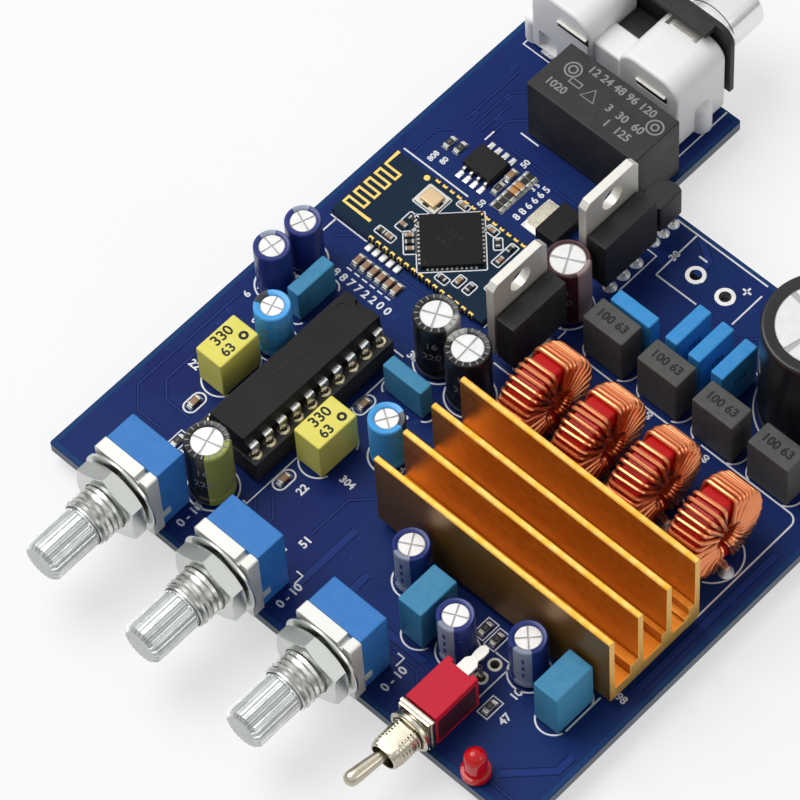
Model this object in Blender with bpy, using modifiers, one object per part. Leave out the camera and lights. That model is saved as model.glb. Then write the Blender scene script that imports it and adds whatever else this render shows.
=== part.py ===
"""Audio amplifier board: tone controls, power switch, wireless module and twin line input.

The origin is in the middle of the board's underside. X runs along the control edge,
Y from the control edge towards the line input, and Z up. Places on the board are
measured from its front left corner, on the top face.
"""
import math

import bmesh
import bpy
from mathutils import Matrix, Vector

MM = 0.001

# Clearances
SEAT_GAP = 0.3 * MM
BORE_GAP = 0.12 * MM
SOLDERED = 0.4 * MM
WELD = 0.00001

# Printed circuit board, an L with the line input on its longer leg
BOARD_WIDTH = 82.5 * MM
BOARD_DEPTH = 80.4 * MM
BOARD_THICKNESS = 1.6 * MM
INPUT_LEG_WIDTH = 32.8 * MM
INPUT_LEG_DEPTH = 16.8 * MM
BOARD_CORNER = 0.4 * MM

# Drilled pads that carry no part
SUPPLY_HOLE_DIAMETER = 1.7 * MM
SUPPLY_HOLE_PITCH = 5.1 * MM
SUPPLY_HOLE_X = 44.6 * MM
SUPPLY_HOLE_BACK = 5.6 * MM
SWITCH_HOLE_DIAMETER = 1.1 * MM

# Solder under the board
TAIL_RADIUS = 1.2 * MM
TAIL_TIP_RADIUS = 0.4 * MM
TAIL_HEIGHT = 1.8 * MM
JOINT_RADIUS = 0.9 * MM
JOINT_HEIGHT = 1.1 * MM

# Tone and volume controls
CONTROL_FIRST_X = 15.4 * MM
CONTROL_PITCH = 17.65 * MM
CONTROL_AXIS_HEIGHT = 6.7 * MM
CONTROL_BODY_WIDTH = 9.0 * MM
CONTROL_BODY_DEPTH = 4.5 * MM
CONTROL_BODY_HEIGHT = 11.7 * MM
CONTROL_PLATE_DEPTH = 1.9 * MM
CONTROL_PLATE_WIDTH = 9.4 * MM
CONTROL_PLATE_FRONT = -0.8 * MM
CONTROL_LEG_PITCH = 2.5 * MM
CONTROL_LEG_Y = 3.6 * MM
BUSH_DIAMETER = 7.0 * MM
BUSH_LENGTH = 7.2 * MM
SHAFT_DIAMETER = 6.0 * MM
SHAFT_SPLINE_DEPTH = 0.28 * MM
SHAFT_SPLINES = 18
SHAFT_SPLINE_LENGTH = 7.3 * MM
SHAFT_CHAMFER = 0.5 * MM
WASHER_DIAMETER = 12.2 * MM
WASHER_THICKNESS = 0.5 * MM
NUT_ACROSS_FLATS = 10.0 * MM
NUT_THICKNESS = 2.1 * MM

# Power switch
SWITCH_X = 64.7 * MM
SWITCH_BODY_WIDTH = 5.1 * MM
SWITCH_BODY_DEPTH = 7.7 * MM
SWITCH_BODY_HEIGHT = 6.5 * MM
SWITCH_BODY_FRONT = 1.5 * MM
SWITCH_FRAME_THICKNESS = 1.0 * MM
SWITCH_AXIS_HEIGHT = 3.4 * MM
SWITCH_BUSH_DIAMETER = 5.0 * MM
SWITCH_BUSH_LENGTH = 5.6 * MM
SWITCH_BUSH_MOUTH = 3.7 * MM
SWITCH_BUSH_FLAT = 2.25 * MM
SWITCH_RING_DIAMETER = 6.4 * MM
SWITCH_RING_THICKNESS = 0.8 * MM
LEVER_RADIUS = 0.85 * MM
LEVER_TIP_RADIUS = 1.05 * MM
LEVER_BALL_RADIUS = 1.35 * MM
LEVER_REACH = 8.5 * MM
LEVER_PIVOT_DEPTH = 2.8 * MM
LEVER_THROW = math.radians(6.5)
LUG_WIDTH = 2.5 * MM
LUG_LENGTH = 4.4 * MM
LUG_THICKNESS = 0.5 * MM

# Indicator lamp
LAMP_X = 73.4 * MM
LAMP_Y = 1.9 * MM
LAMP_RADIUS = 1.5 * MM
LAMP_FLANGE_RADIUS = 1.95 * MM
LAMP_HEIGHT = 5.2 * MM
LAMP_FLANGE_HEIGHT = 1.0 * MM

# Relay
RELAY_WIDTH = 19.2 * MM
RELAY_DEPTH = 8.8 * MM
RELAY_HEIGHT = 11.4 * MM
RELAY_TO_LEG_EDGE = 0.6 * MM
RELAY_TO_INPUT = 2.4 * MM

# Twin line input
INPUT_PITCH = 14.0 * MM
INPUT_AXIS_HEIGHT = 8.4 * MM
INPUT_SHELL_WIDTH = 12.2 * MM
INPUT_SHELL_DEPTH = 9.8 * MM
INPUT_SHELL_HEIGHT = 13.4 * MM
INPUT_SHELL_ROUND = 3.2 * MM
INPUT_SLOT_WIDTH = 5.7 * MM
INPUT_SLOT_HEIGHT = 3.0 * MM
INPUT_SLOT_LEVEL = 7.4 * MM
INPUT_SLOT_DEPTH = 2.0 * MM
INPUT_SLOT_OFFSET = 2.3 * MM
INPUT_WEB_HEIGHT = 8.8 * MM
INPUT_RECESS = (6.4 * MM, 2.6 * MM, 2.2 * MM)
INPUT_PLATE_WIDTH = 27.0 * MM
INPUT_PLATE_THICKNESS = 0.9 * MM
INPUT_PLATE_TOP = 15.6 * MM
INPUT_PLATE_BOTTOM = 3.0 * MM
INPUT_PLATE_CORNER = 2.6 * MM
INPUT_PLATE_LIP = 2.1 * MM
INPUT_PLATE_LIP_HEIGHT = 0.9 * MM
INPUT_FOOT_RADIUS = 1.2 * MM
INPUT_FEET = ((-12.5 * MM, 1.8 * MM), (12.5 * MM, 4.4 * MM))
INPUT_OVERHANG = 0.8 * MM
SLEEVE_RADIUS = 4.15 * MM
SLEEVE_WALL = 0.4 * MM
SLEEVE_REACH = 8.4 * MM
INSULATOR_RADIUS = 3.2 * MM
INSULATOR_REACH = 5.0 * MM
PIN_SOCKET_RADIUS = 1.9 * MM
PIN_SOCKET_BORE = 1.6 * MM
PIN_SOCKET_REACH = 7.2 * MM
INPUT_LUG_THICKNESS = 0.4 * MM

# Standing voltage regulators
REGULATOR_WIDTH = 10.0 * MM
REGULATOR_TAB_THICKNESS = 1.3 * MM
REGULATOR_CASE_THICKNESS = 3.0 * MM
REGULATOR_CASE_HEIGHT = 9.0 * MM
REGULATOR_TAB_RISE = 6.3 * MM
REGULATOR_STANDOFF = 3.9 * MM
REGULATOR_TAB_HOLE = 3.7 * MM
REGULATOR_TAB_CHAMFER = 1.3 * MM
REGULATOR_LEAD_PITCH = 2.54 * MM
REGULATOR_LEAD_WIDTH = 0.9 * MM
REGULATOR_LEAD_THICKNESS = 0.5 * MM
REGULATOR_PLACES = ((34.1 * MM, 51.5 * MM), (34.4 * MM, 68.5 * MM))

# Small transistor on three legs
TRANSISTOR_X = 37.1 * MM
TRANSISTOR_Y = 76.9 * MM
TRANSISTOR_RADIUS = 2.45 * MM
TRANSISTOR_FLAT = 1.3 * MM
TRANSISTOR_HEIGHT = 5.2 * MM
TRANSISTOR_STANDOFF = 3.8 * MM
TRANSISTOR_LEG_PITCH = 1.3 * MM
TRANSISTOR_LEG_RADIUS = 0.25 * MM

# Flat regulator soldered by its tab
FLAT_CASE_SIZE = (3.4 * MM, 5.8 * MM, 1.9 * MM)
FLAT_CASE_X = 24.9 * MM
FLAT_CASE_Y = 65.2 * MM
FLAT_TAB_LENGTH = 2.2 * MM
FLAT_TAB_WIDTH = 4.7 * MM
FLAT_TAB_THICKNESS = 0.7 * MM
FLAT_LEAD_LENGTH = 1.9 * MM
FLAT_LEAD_SPREAD = 2.3 * MM

# Eight-legged chip
SMALL_CHIP_SIZE = (4.9 * MM, 3.9 * MM, 1.3 * MM)
SMALL_CHIP_X = 10.2 * MM
SMALL_CHIP_Y = 67.0 * MM
SMALL_CHIP_LEGS = 4
SMALL_CHIP_PITCH = 1.27 * MM
SMALL_CHIP_LEG_REACH = 1.1 * MM
SMALL_CHIP_LEG_WIDTH = 0.45 * MM
SMALL_CHIP_LEG_THICKNESS = 0.25 * MM

# Chip resistors and chip capacitors: middle of each on the board, and turned or not
CHIP_LENGTH = 2.0 * MM
CHIP_WIDTH = 1.25 * MM
CHIP_HEIGHT = 0.5 * MM
CHIP_CAPACITOR_HEIGHT = 0.8 * MM
CHIP_ROW_START = (9.6 * MM, 46.7 * MM)
CHIP_ROW_PITCH = 1.62 * MM
CHIP_ROW_COUNT = 6
CHIP_CLUSTER_START = (16.2 * MM, 66.2 * MM)
CHIP_CLUSTER_PITCH = (2.4 * MM, 1.55 * MM)
CHIP_CLUSTER_COUNT = (2, 4)
CHIP_PAIR_START = (6.3 * MM, 69.0 * MM)
CHIP_PAIR_PITCH = 1.7 * MM
CHIP_LOOSE_CAPACITORS = ((10.3, 16.6), (32.1, 11.9), (26.0, 30.8))
CHIP_LOOSE_RESISTORS = ((12.2, 11.3), (33.0, 7.6), (69.2, 10.6), (63.6, 18.2))

# Wireless module
MODULE_WIDTH = 27.0 * MM
MODULE_DEPTH = 12.7 * MM
MODULE_THICKNESS = 0.8 * MM
MODULE_X = 2.3 * MM
MODULE_Y = 50.1 * MM
MODULE_CHIP_SIDE = 8.2 * MM
MODULE_CHIP_HEIGHT = 0.8 * MM
MODULE_CHIP_X = 15.5 * MM
MODULE_CHIP_Y = 6.6 * MM
MODULE_CRYSTAL_SIZE = (3.2 * MM, 2.6 * MM, 0.8 * MM)
MODULE_CRYSTAL_X = 7.6 * MM
MODULE_CRYSTAL_Y = 8.2 * MM

# Tone-control chip in its socket
TONE_LEGS = 10
TONE_PITCH = 2.54 * MM
TONE_ROW_SPACING = 7.62 * MM
TONE_CENTRE_X = 19.25 * MM
TONE_FIRST_Y = 14.95 * MM
SOCKET_HEIGHT = 4.0 * MM
SOCKET_RAIL_WIDTH = 2.5 * MM
SOCKET_END = 1.3 * MM
SOCKET_BAR = 2.2 * MM
SOCKET_CUP_RADIUS = 0.7 * MM
SOCKET_CUP_HEIGHT = 0.35 * MM
TONE_CHIP_WIDTH = 6.3 * MM
TONE_CHIP_LENGTH = 25.0 * MM
TONE_CHIP_HEIGHT = 3.3 * MM
TONE_CHIP_LEVEL = 5.0 * MM
TONE_LEG_WIDTH = 1.3 * MM
TONE_LEG_THICKNESS = 0.26 * MM

# Electrolytic capacitors: places of the middles on the board
SMALL_CAN_RADIUS = 2.5 * MM
SMALL_CAN_HEIGHT = 8.9 * MM
TALL_CAN_RADIUS = 3.1 * MM
TALL_CAN_HEIGHT = 11.3 * MM
CAN_ROLL = 0.35 * MM
CAN_TOP_SINK = 0.25 * MM
CAN_CRIMP = 0.25 * MM
NAVY_CANS = ((4.7, 37.1), (5.0, 42.6), (48.9, 16.7), (59.9, 13.0), (68.7, 16.7))
BLUE_CANS = ((11.2, 30.5), (33.9, 28.0))
OLIVE_CANS = ((20.5, 9.4),)
BLACK_CANS = ((28.9, 42.6), (35.4, 41.5))
MAROON_CANS = ((35.7, 60.0),)
CAN_LEADS = 2.2 * MM
MAIN_CAN_RADIUS = 8.0 * MM
MAIN_CAN_LEADS = 7.5 * MM
MAIN_CAN_HEIGHT = 19.7 * MM
MAIN_CAN_TO_BLUE_FILM = 0.65 * MM
MAIN_CAN_TO_GREY_FILM = 1.9 * MM

# Film capacitors: size as width, depth, height, then front left corners in millimetres
YELLOW_FILM_SIZE = (4.6 * MM, 7.0 * MM, 7.3 * MM)
YELLOW_FILM_PLACES = ((7.5, 20.0), (25.4, 19.6))
SLIM_FILM_SIZE = (2.15 * MM, 6.8 * MM, 6.2 * MM)
SLIM_FILM_PLACES = ((9.15, 35.0),)
SLIM_FILM_ACROSS = ((26.6, 34.65),)
TEAL_FILM_SIZE = (4.0 * MM, 6.7 * MM, 8.6 * MM)
TEAL_FILM_PLACES = ((52.7, 10.1), (73.3, 12.5))
BLUE_FILM_SIZE = (2.1 * MM, 6.8 * MM, 8.3 * MM)
BLUE_FILM_ACROSS = ((42.4, 60.6),)
BLUE_FILM_FIRST = (51.45 * MM, 61.0 * MM)
BLUE_FILM_PITCH = 3.9 * MM
BLUE_FILM_COUNT = 3
GREY_FILM_SIZE = (6.8 * MM, 4.0 * MM, 8.6 * MM)
GREY_FILM_FIRST = (41.7 * MM, 56.1 * MM)
GREY_FILM_PITCH = 9.35 * MM
GREY_FILM_COUNT = 4
FILM_EDGE = 0.3 * MM
FILM_LEADS = 5.0 * MM

# Heatsink on the amplifier chip
HEATSINK_LENGTH = 39.6 * MM
HEATSINK_LEFT = 39.9 * MM
HEATSINK_FRONT = 19.7 * MM
HEATSINK_HEIGHT = 14.2 * MM
HEATSINK_FIN = 0.9 * MM
HEATSINK_FIN_PITCH = 5.22 * MM
HEATSINK_FINS = 4
HEATSINK_BASE = 2.2 * MM
HEATSINK_LEDGE_HEIGHT = 1.9 * MM
HEATSINK_LEDGE_WIDTH = 1.5 * MM
AMPLIFIER_CHIP_SIZE = (11.0 * MM, 6.2 * MM, 1.0 * MM)
SCREW_SPREAD = 30.0 * MM
SCREW_RADIUS = 1.5 * MM
SCREW_HEAD_RADIUS = 2.7 * MM
SCREW_HEAD_HEIGHT = 1.5 * MM

# Output filter coils on upright ring cores
CORE_RADIUS = 6.2 * MM
CORE_BORE_RADIUS = 3.3 * MM
CORE_WIDTH = 3.5 * MM
CORE_SIDES = 18
WIRE_RADIUS = 0.3 * MM
COIL_TURNS = 18
COIL_GAP_ANGLE = math.radians(44.0)
COIL_Y = 44.6 * MM
COIL_LEADS = 6.0 * MM
COIL_PLACES = (45.4 * MM, 54.7 * MM, 64.1 * MM, 74.2 * MM)

COLOURS = {
    "board_blue": ((0.012, 0.020, 0.110), 0.35, 0.0),
    "solder": ((0.62, 0.62, 0.60), 0.35, 1.0),
    "control_blue": ((0.030, 0.180, 0.560), 0.40, 0.0),
    "zinc": ((0.60, 0.59, 0.55), 0.35, 1.0),
    "plated_steel": ((0.66, 0.66, 0.62), 0.28, 1.0),
    "nickel": ((0.62, 0.58, 0.48), 0.25, 1.0),
    "switch_red": ((0.560, 0.020, 0.045), 0.35, 0.0),
    "lamp_red": ((0.700, 0.010, 0.010), 0.10, 0.0),
    "black_plastic": ((0.020, 0.020, 0.021), 0.45, 0.0),
    "white_plastic": ((0.82, 0.82, 0.80), 0.35, 0.0),
    "brass": ((0.70, 0.52, 0.20), 0.30, 1.0),
    "ceramic_tan": ((0.330, 0.250, 0.160), 0.50, 0.0),
    "module_green": ((0.010, 0.060, 0.060), 0.35, 0.0),
    "navy_sleeve": ((0.030, 0.040, 0.150), 0.35, 0.0),
    "blue_sleeve": ((0.030, 0.230, 0.620), 0.35, 0.0),
    "olive_sleeve": ((0.050, 0.055, 0.020), 0.35, 0.0),
    "maroon_sleeve": ((0.090, 0.020, 0.030), 0.35, 0.0),
    "yellow_box": ((0.800, 0.700, 0.080), 0.40, 0.0),
    "teal_box": ((0.060, 0.260, 0.420), 0.40, 0.0),
    "sky_box": ((0.050, 0.270, 0.620), 0.40, 0.0),
    "grey_box": ((0.160, 0.160, 0.160), 0.50, 0.0),
    "gold_anodised": ((0.640, 0.210, 0.020), 0.35, 0.8),
    "core_red": ((0.360, 0.010, 0.010), 0.45, 0.0),
    "copper": ((0.720, 0.250, 0.110), 0.25, 1.0),
}

TO_FRONT = Matrix.Rotation(math.pi / 2, 4, "X")
TO_BACK = Matrix.Rotation(-math.pi / 2, 4, "X")
TO_RIGHT = Matrix(((0, 0, 1, 0), (1, 0, 0, 0), (0, 1, 0, 0), (0, 0, 0, 1)))


def clear_scene():
    for obj in list(bpy.data.objects):
        bpy.data.objects.remove(obj)


def collection(name):
    group = bpy.data.collections.new(name)
    bpy.context.scene.collection.children.link(group)
    return group


def material(name):
    colour, roughness, metallic = COLOURS[name]
    finish = bpy.data.materials.get(name) or bpy.data.materials.new(name)
    finish.use_nodes = True
    shader = finish.node_tree.nodes["Principled BSDF"]
    shader.inputs["Base Color"].default_value = (*colour, 1.0)
    shader.inputs["Roughness"].default_value = roughness
    shader.inputs["Metallic"].default_value = metallic
    return finish


def shift(x=0.0, y=0.0, z=0.0):
    return Matrix.Translation((x, y, z))


def mesh_from(bm, name):
    bmesh.ops.recalc_face_normals(bm, faces=bm.faces)
    mesh = bpy.data.meshes.new(name)
    bm.to_mesh(mesh)
    bm.free()
    return mesh


def settled(obj):
    """The object's evaluated mesh, with its seams welded; the object is removed."""
    bpy.context.scene.collection.objects.link(obj)
    bpy.context.view_layer.update()
    evaluated = obj.evaluated_get(bpy.context.evaluated_depsgraph_get())
    mesh = bpy.data.meshes.new_from_object(evaluated)
    bpy.data.objects.remove(obj)
    bm = bmesh.new()
    bm.from_mesh(mesh)
    bmesh.ops.remove_doubles(bm, verts=bm.verts, dist=WELD)
    return mesh_from(bm, mesh.name)


def cuboid(width, depth, height):
    """A box whose low corner is at the origin."""
    bm = bmesh.new()
    bmesh.ops.create_cube(bm, size=1.0)
    bmesh.ops.translate(bm, verts=bm.verts, vec=(0.5, 0.5, 0.5))
    bmesh.ops.scale(bm, verts=bm.verts, vec=(width, depth, height))
    return mesh_from(bm, "cuboid")


def cylinder(radius, height, sides, tip=None):
    """A cylinder or frustum standing on the origin."""
    bm = bmesh.new()
    top = radius if tip is None else tip
    bmesh.ops.create_cone(bm, cap_ends=True, segments=sides, radius1=radius,
                          radius2=top, depth=height)
    bmesh.ops.translate(bm, verts=bm.verts, vec=(0.0, 0.0, height / 2))
    return mesh_from(bm, "cylinder")


def turned(profile, sides, ring=False):
    """A solid turned about Z; the profile runs down its outer side."""
    last = len(profile) - 1
    edges = [(i, i + 1) for i in range(last)]
    if ring:
        edges.append((last, 0))
    mesh = bpy.data.meshes.new("profile")
    mesh.from_pydata([(radius, 0.0, z) for radius, z in profile], edges, [])
    obj = bpy.data.objects.new("profile", mesh)
    screw = obj.modifiers.new("turn", "SCREW")
    screw.axis = "Z"
    screw.steps = sides
    screw.render_steps = sides
    screw.use_merge_vertices = True
    screw.merge_threshold = WELD
    return settled(obj)


def prism(points, thickness):
    """A flat outline raised from the XY plane by its thickness."""
    curve = bpy.data.curves.new("outline", "CURVE")
    curve.dimensions = "2D"
    curve.fill_mode = "BOTH"
    curve.extrude = thickness / 2
    spline = curve.splines.new("POLY")
    spline.points.add(len(points) - 1)
    for point, (x, y) in zip(spline.points, points):
        point.co = (x, y, 0.0, 1.0)
    spline.use_cyclic_u = True
    mesh = settled(bpy.data.objects.new("outline", curve))
    mesh.transform(shift(z=thickness / 2))
    return mesh


def tube(points, radius, resolution):
    curve = bpy.data.curves.new("route", "CURVE")
    curve.dimensions = "3D"
    curve.bevel_depth = radius
    curve.bevel_resolution = resolution
    curve.use_fill_caps = True
    spline = curve.splines.new("POLY")
    spline.points.add(len(points) - 1)
    for point, place in zip(spline.points, points):
        point.co = (*place, 1.0)
    return settled(bpy.data.objects.new("route", curve))


def joined(pieces):
    """One mesh from (mesh, matrix) pairs, each still a separate solid in its own finish."""
    bm = bmesh.new()
    finishes = []
    for mesh, matrix in pieces:
        copy = mesh.copy()
        copy.transform(matrix)
        known = len(bm.faces)
        bm.from_mesh(copy)
        finish = copy.materials[0] if copy.materials else None
        if finish not in finishes:
            finishes.append(finish)
        bm.faces.ensure_lookup_table()
        for face in bm.faces[known:]:
            face.material_index = finishes.index(finish)
        bpy.data.meshes.remove(copy)
    mesh = bpy.data.meshes.new("joined")
    bm.to_mesh(mesh)
    bm.free()
    for finish in finishes:
        if finish:
            mesh.materials.append(finish)
    return mesh


def finished(mesh, finish, edge=0.0):
    """The mesh in its finish, with its edges broken where a width is given."""
    if edge:
        blank = bpy.data.objects.new("blank", mesh)
        round_edges(blank, edge)
        mesh = settled(blank)
    mesh.materials.clear()
    mesh.materials.append(material(finish))
    return mesh


def arc(centre, radius, start, end, steps):
    """Points on an arc, angles in degrees, both ends included."""
    angles = [math.radians(start + (end - start) * i / steps) for i in range(steps + 1)]
    return [(centre[0] + radius * math.cos(a), centre[1] + radius * math.sin(a)) for a in angles]


def round_edges(obj, width):
    bevel = obj.modifiers.new("edges", "BEVEL")
    bevel.width = width
    bevel.segments = 1
    bevel.limit_method = "ANGLE"
    bevel.angle_limit = math.radians(40.0)


class Builder:
    """Places named parts on the board."""

    def __init__(self):
        self.parts = collection("audio_amplifier_board")
        self.cutters = collection("cutters")
        self.datum = bpy.data.objects.new("board_datum", None)
        self.datum.location = (-BOARD_WIDTH / 2, -BOARD_DEPTH / 2, BOARD_THICKNESS)
        self.parts.objects.link(self.datum)

    def add(self, name, mesh, finish, location=(0.0, 0.0, 0.0), turn=None, edge=0.0):
        obj = bpy.data.objects.new(name, mesh)
        self.parts.objects.link(obj)
        mesh.name = name
        mesh.materials.clear()
        mesh.materials.append(material(finish))
        mesh.shade_smooth()
        mesh.set_sharp_from_angle(angle=math.radians(35.0))
        obj.parent = self.datum
        obj.matrix_basis = Matrix.Translation(location) @ (turn or Matrix.Identity(4))
        if edge:
            round_edges(obj, edge)
        return obj

    def cut(self, obj, mesh, operation="DIFFERENCE"):
        """Cuts with, or joins, a helper mesh given in the same frame as the object's own."""
        cutter = bpy.data.objects.new(obj.name + "_cutter", mesh)
        self.cutters.objects.link(cutter)
        cutter.hide_render = True
        cutter.display_type = "WIRE"
        cutter.parent = self.datum
        cutter.matrix_basis = obj.matrix_basis
        boolean = obj.modifiers.new("shape", "BOOLEAN")
        boolean.solver = "EXACT"
        boolean.operation = operation
        boolean.object = cutter
        return boolean

    def fuse(self, obj, mesh, finish=None):
        """Makes a mesh one body with the object, in a finish of its own."""
        if finish:
            finished(mesh, finish)
        self.cut(obj, mesh, "UNION").material_mode = "TRANSFER"


def control_places():
    return [CONTROL_FIRST_X + CONTROL_PITCH * i for i in range(3)]


def switch_holes():
    back = SWITCH_BODY_FRONT + SWITCH_BODY_DEPTH
    return [(SWITCH_X, back + 2.9 * MM), (SWITCH_X, back + 5.44 * MM)]


def supply_holes():
    y = BOARD_DEPTH - SUPPLY_HOLE_BACK
    return [(SUPPLY_HOLE_X + SUPPLY_HOLE_PITCH * i, y) for i in range(2)]


def circuit_board(build):
    """The board with its drilled pads; parts soldered flat on it are one body with it."""
    leg_back = BOARD_DEPTH + INPUT_LEG_DEPTH
    c = BOARD_CORNER
    outline = (arc((c, c), c, 270, 180, 2)
               + arc((c, leg_back - c), c, 180, 90, 2)
               + arc((INPUT_LEG_WIDTH - c, leg_back - c), c, 90, 0, 2)
               + [(INPUT_LEG_WIDTH, BOARD_DEPTH)]
               + arc((BOARD_WIDTH - c, BOARD_DEPTH - c), c, 90, 0, 2)
               + arc((BOARD_WIDTH - c, c), c, 0, -90, 2))
    slab = prism(outline, BOARD_THICKNESS)
    slab.transform(shift(z=-BOARD_THICKNESS))
    board = build.add("circuit_board", slab, "board_blue")
    drill = BOARD_THICKNESS * 2
    low = -BOARD_THICKNESS * 1.5
    cuts = [(cylinder(SUPPLY_HOLE_DIAMETER / 2, drill, 12), shift(x, y, low))
            for x, y in supply_holes()]
    cuts += [(cylinder(SWITCH_HOLE_DIAMETER / 2, drill, 8), shift(x, y, low))
             for x, y in switch_holes()]
    cuts += [(cylinder(SCREW_RADIUS + SEAT_GAP, drill, 10), shift(x, y, low))
             for x, y in screw_places()]
    build.cut(board, joined(cuts))
    bodies = film_capacitors() + chip_parts() + [flat_regulator_case(), small_chip_case()]
    build.fuse(board, joined(bodies))
    build.fuse(board, joined(flat_regulator_tabs() + small_chip_legs() + solder_under_board()))


def film_places():
    """Middle of every film capacitor with its width, depth and height, by finish."""
    def middles(corners, size, turned_size=False):
        width, depth = (size[1], size[0]) if turned_size else (size[0], size[1])
        return [(x * MM + width / 2, y * MM + depth / 2, width, depth, size[2])
                for x, y in corners]

    rows = {
        "yellow_box": middles(YELLOW_FILM_PLACES, YELLOW_FILM_SIZE),
        "teal_box": (middles(SLIM_FILM_PLACES, SLIM_FILM_SIZE)
                     + middles(SLIM_FILM_ACROSS, SLIM_FILM_SIZE, True)
                     + middles(TEAL_FILM_PLACES, TEAL_FILM_SIZE)),
        "sky_box": middles(BLUE_FILM_ACROSS, BLUE_FILM_SIZE, True),
        "grey_box": [],
    }
    for i in range(BLUE_FILM_COUNT):
        x = BLUE_FILM_FIRST[0] + BLUE_FILM_PITCH * i + BLUE_FILM_SIZE[0] / 2
        y = BLUE_FILM_FIRST[1] + BLUE_FILM_SIZE[1] / 2
        rows["sky_box"].append((x, y, *BLUE_FILM_SIZE))
    for i in range(GREY_FILM_COUNT):
        x = GREY_FILM_FIRST[0] + GREY_FILM_PITCH * i + GREY_FILM_SIZE[0] / 2
        y = GREY_FILM_FIRST[1] + GREY_FILM_SIZE[1] / 2
        rows["grey_box"].append((x, y, *GREY_FILM_SIZE))
    return rows


def film_capacitors():
    boxes = []
    for finish, rows in film_places().items():
        for x, y, width, depth, height in rows:
            box = finished(cuboid(width, depth, height + SOLDERED), finish, FILM_EDGE)
            boxes.append((box, shift(x - width / 2, y - depth / 2, -SOLDERED)))
    return boxes


def can_mesh(radius, height, sides, crimp_height):
    """A capacitor can: sunk top disc, rolled rim, and a crimp above its foot."""
    roll = CAN_ROLL
    rim = radius - roll
    profile = [(0.0, height - CAN_TOP_SINK), (rim - roll, height - CAN_TOP_SINK),
               (rim, height), (radius, height - roll),
               (radius, crimp_height + 2 * roll), (radius - CAN_CRIMP, crimp_height + roll),
               (radius, crimp_height), (radius, 0.0), (0.0, 0.0)]
    return turned(profile, sides)


def electrolytic_capacitors(build):
    small = can_mesh(SMALL_CAN_RADIUS, SMALL_CAN_HEIGHT, 12, 1.2 * MM)
    tall = can_mesh(TALL_CAN_RADIUS, TALL_CAN_HEIGHT, 12, 1.5 * MM)
    groups = (("capacitor_navy", NAVY_CANS, small, "navy_sleeve"),
              ("capacitor_light_blue", BLUE_CANS, small, "blue_sleeve"),
              ("capacitor_olive", OLIVE_CANS, tall, "olive_sleeve"),
              ("capacitor_black", BLACK_CANS, tall, "black_plastic"),
              ("capacitor_maroon", MAROON_CANS, tall, "maroon_sleeve"))
    for name, places, shape, finish in groups:
        mesh = shape.copy()
        for i, (x, y) in enumerate(places):
            title = name + "_" + str(i + 1) if len(places) > 1 else name
            build.add(title, mesh, finish, (x * MM, y * MM, SEAT_GAP))
    main = can_mesh(MAIN_CAN_RADIUS, MAIN_CAN_HEIGHT, 20, 2.2 * MM)
    build.add("main_capacitor", main, "black_plastic", (*main_can_place(), SEAT_GAP))


def main_can_place():
    """Middle of the main can, clear of the film capacitors on its left and in front."""
    blue_right = (BLUE_FILM_FIRST[0] + BLUE_FILM_PITCH * (BLUE_FILM_COUNT - 1)
                  + BLUE_FILM_SIZE[0])
    grey_back = GREY_FILM_FIRST[1] + GREY_FILM_SIZE[1]
    return (blue_right + MAIN_CAN_TO_BLUE_FILM + MAIN_CAN_RADIUS,
            grey_back + MAIN_CAN_TO_GREY_FILM + MAIN_CAN_RADIUS)


def spline_ring(outer, inner, teeth, z):
    """Points of a splined ring, or of a round one where both radii are the same."""
    count = teeth * 2
    return [Vector(((outer if i % 2 else inner) * math.cos(2 * math.pi * i / count),
                    (outer if i % 2 else inner) * math.sin(2 * math.pi * i / count), z))
            for i in range(count)]


def lofted(rings):
    """A closed solid through rings of equally many points, low end first."""
    bm = bmesh.new()
    loops = [[bm.verts.new(point) for point in ring] for ring in rings]
    bm.faces.new(list(reversed(loops[0])))
    bm.faces.new(loops[-1])
    for low, high in zip(loops, loops[1:]):
        for i, corner in enumerate(low):
            following = (i + 1) % len(low)
            bm.faces.new((corner, low[following], high[following], high[i]))
    return mesh_from(bm, "lofted")


def shaft_mesh():
    """The control's shaft, from inside its plate to its splined end."""
    radius = SHAFT_DIAMETER / 2
    journal = radius - 0.06 * MM
    valley = radius - SHAFT_SPLINE_DEPTH
    start = -(CONTROL_PLATE_DEPTH - SEAT_GAP)
    shoulder = BUSH_LENGTH + SEAT_GAP
    end = shoulder + SHAFT_SPLINE_LENGTH
    tip = radius - SHAFT_CHAMFER
    return lofted([spline_ring(journal, journal, SHAFT_SPLINES, start),
                   spline_ring(journal, journal, SHAFT_SPLINES, shoulder),
                   spline_ring(radius, valley, SHAFT_SPLINES, shoulder + 0.2 * MM),
                   spline_ring(radius, valley, SHAFT_SPLINES, end - SHAFT_CHAMFER),
                   spline_ring(tip, tip - 0.1 * MM, SHAFT_SPLINES, end)])


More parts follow.
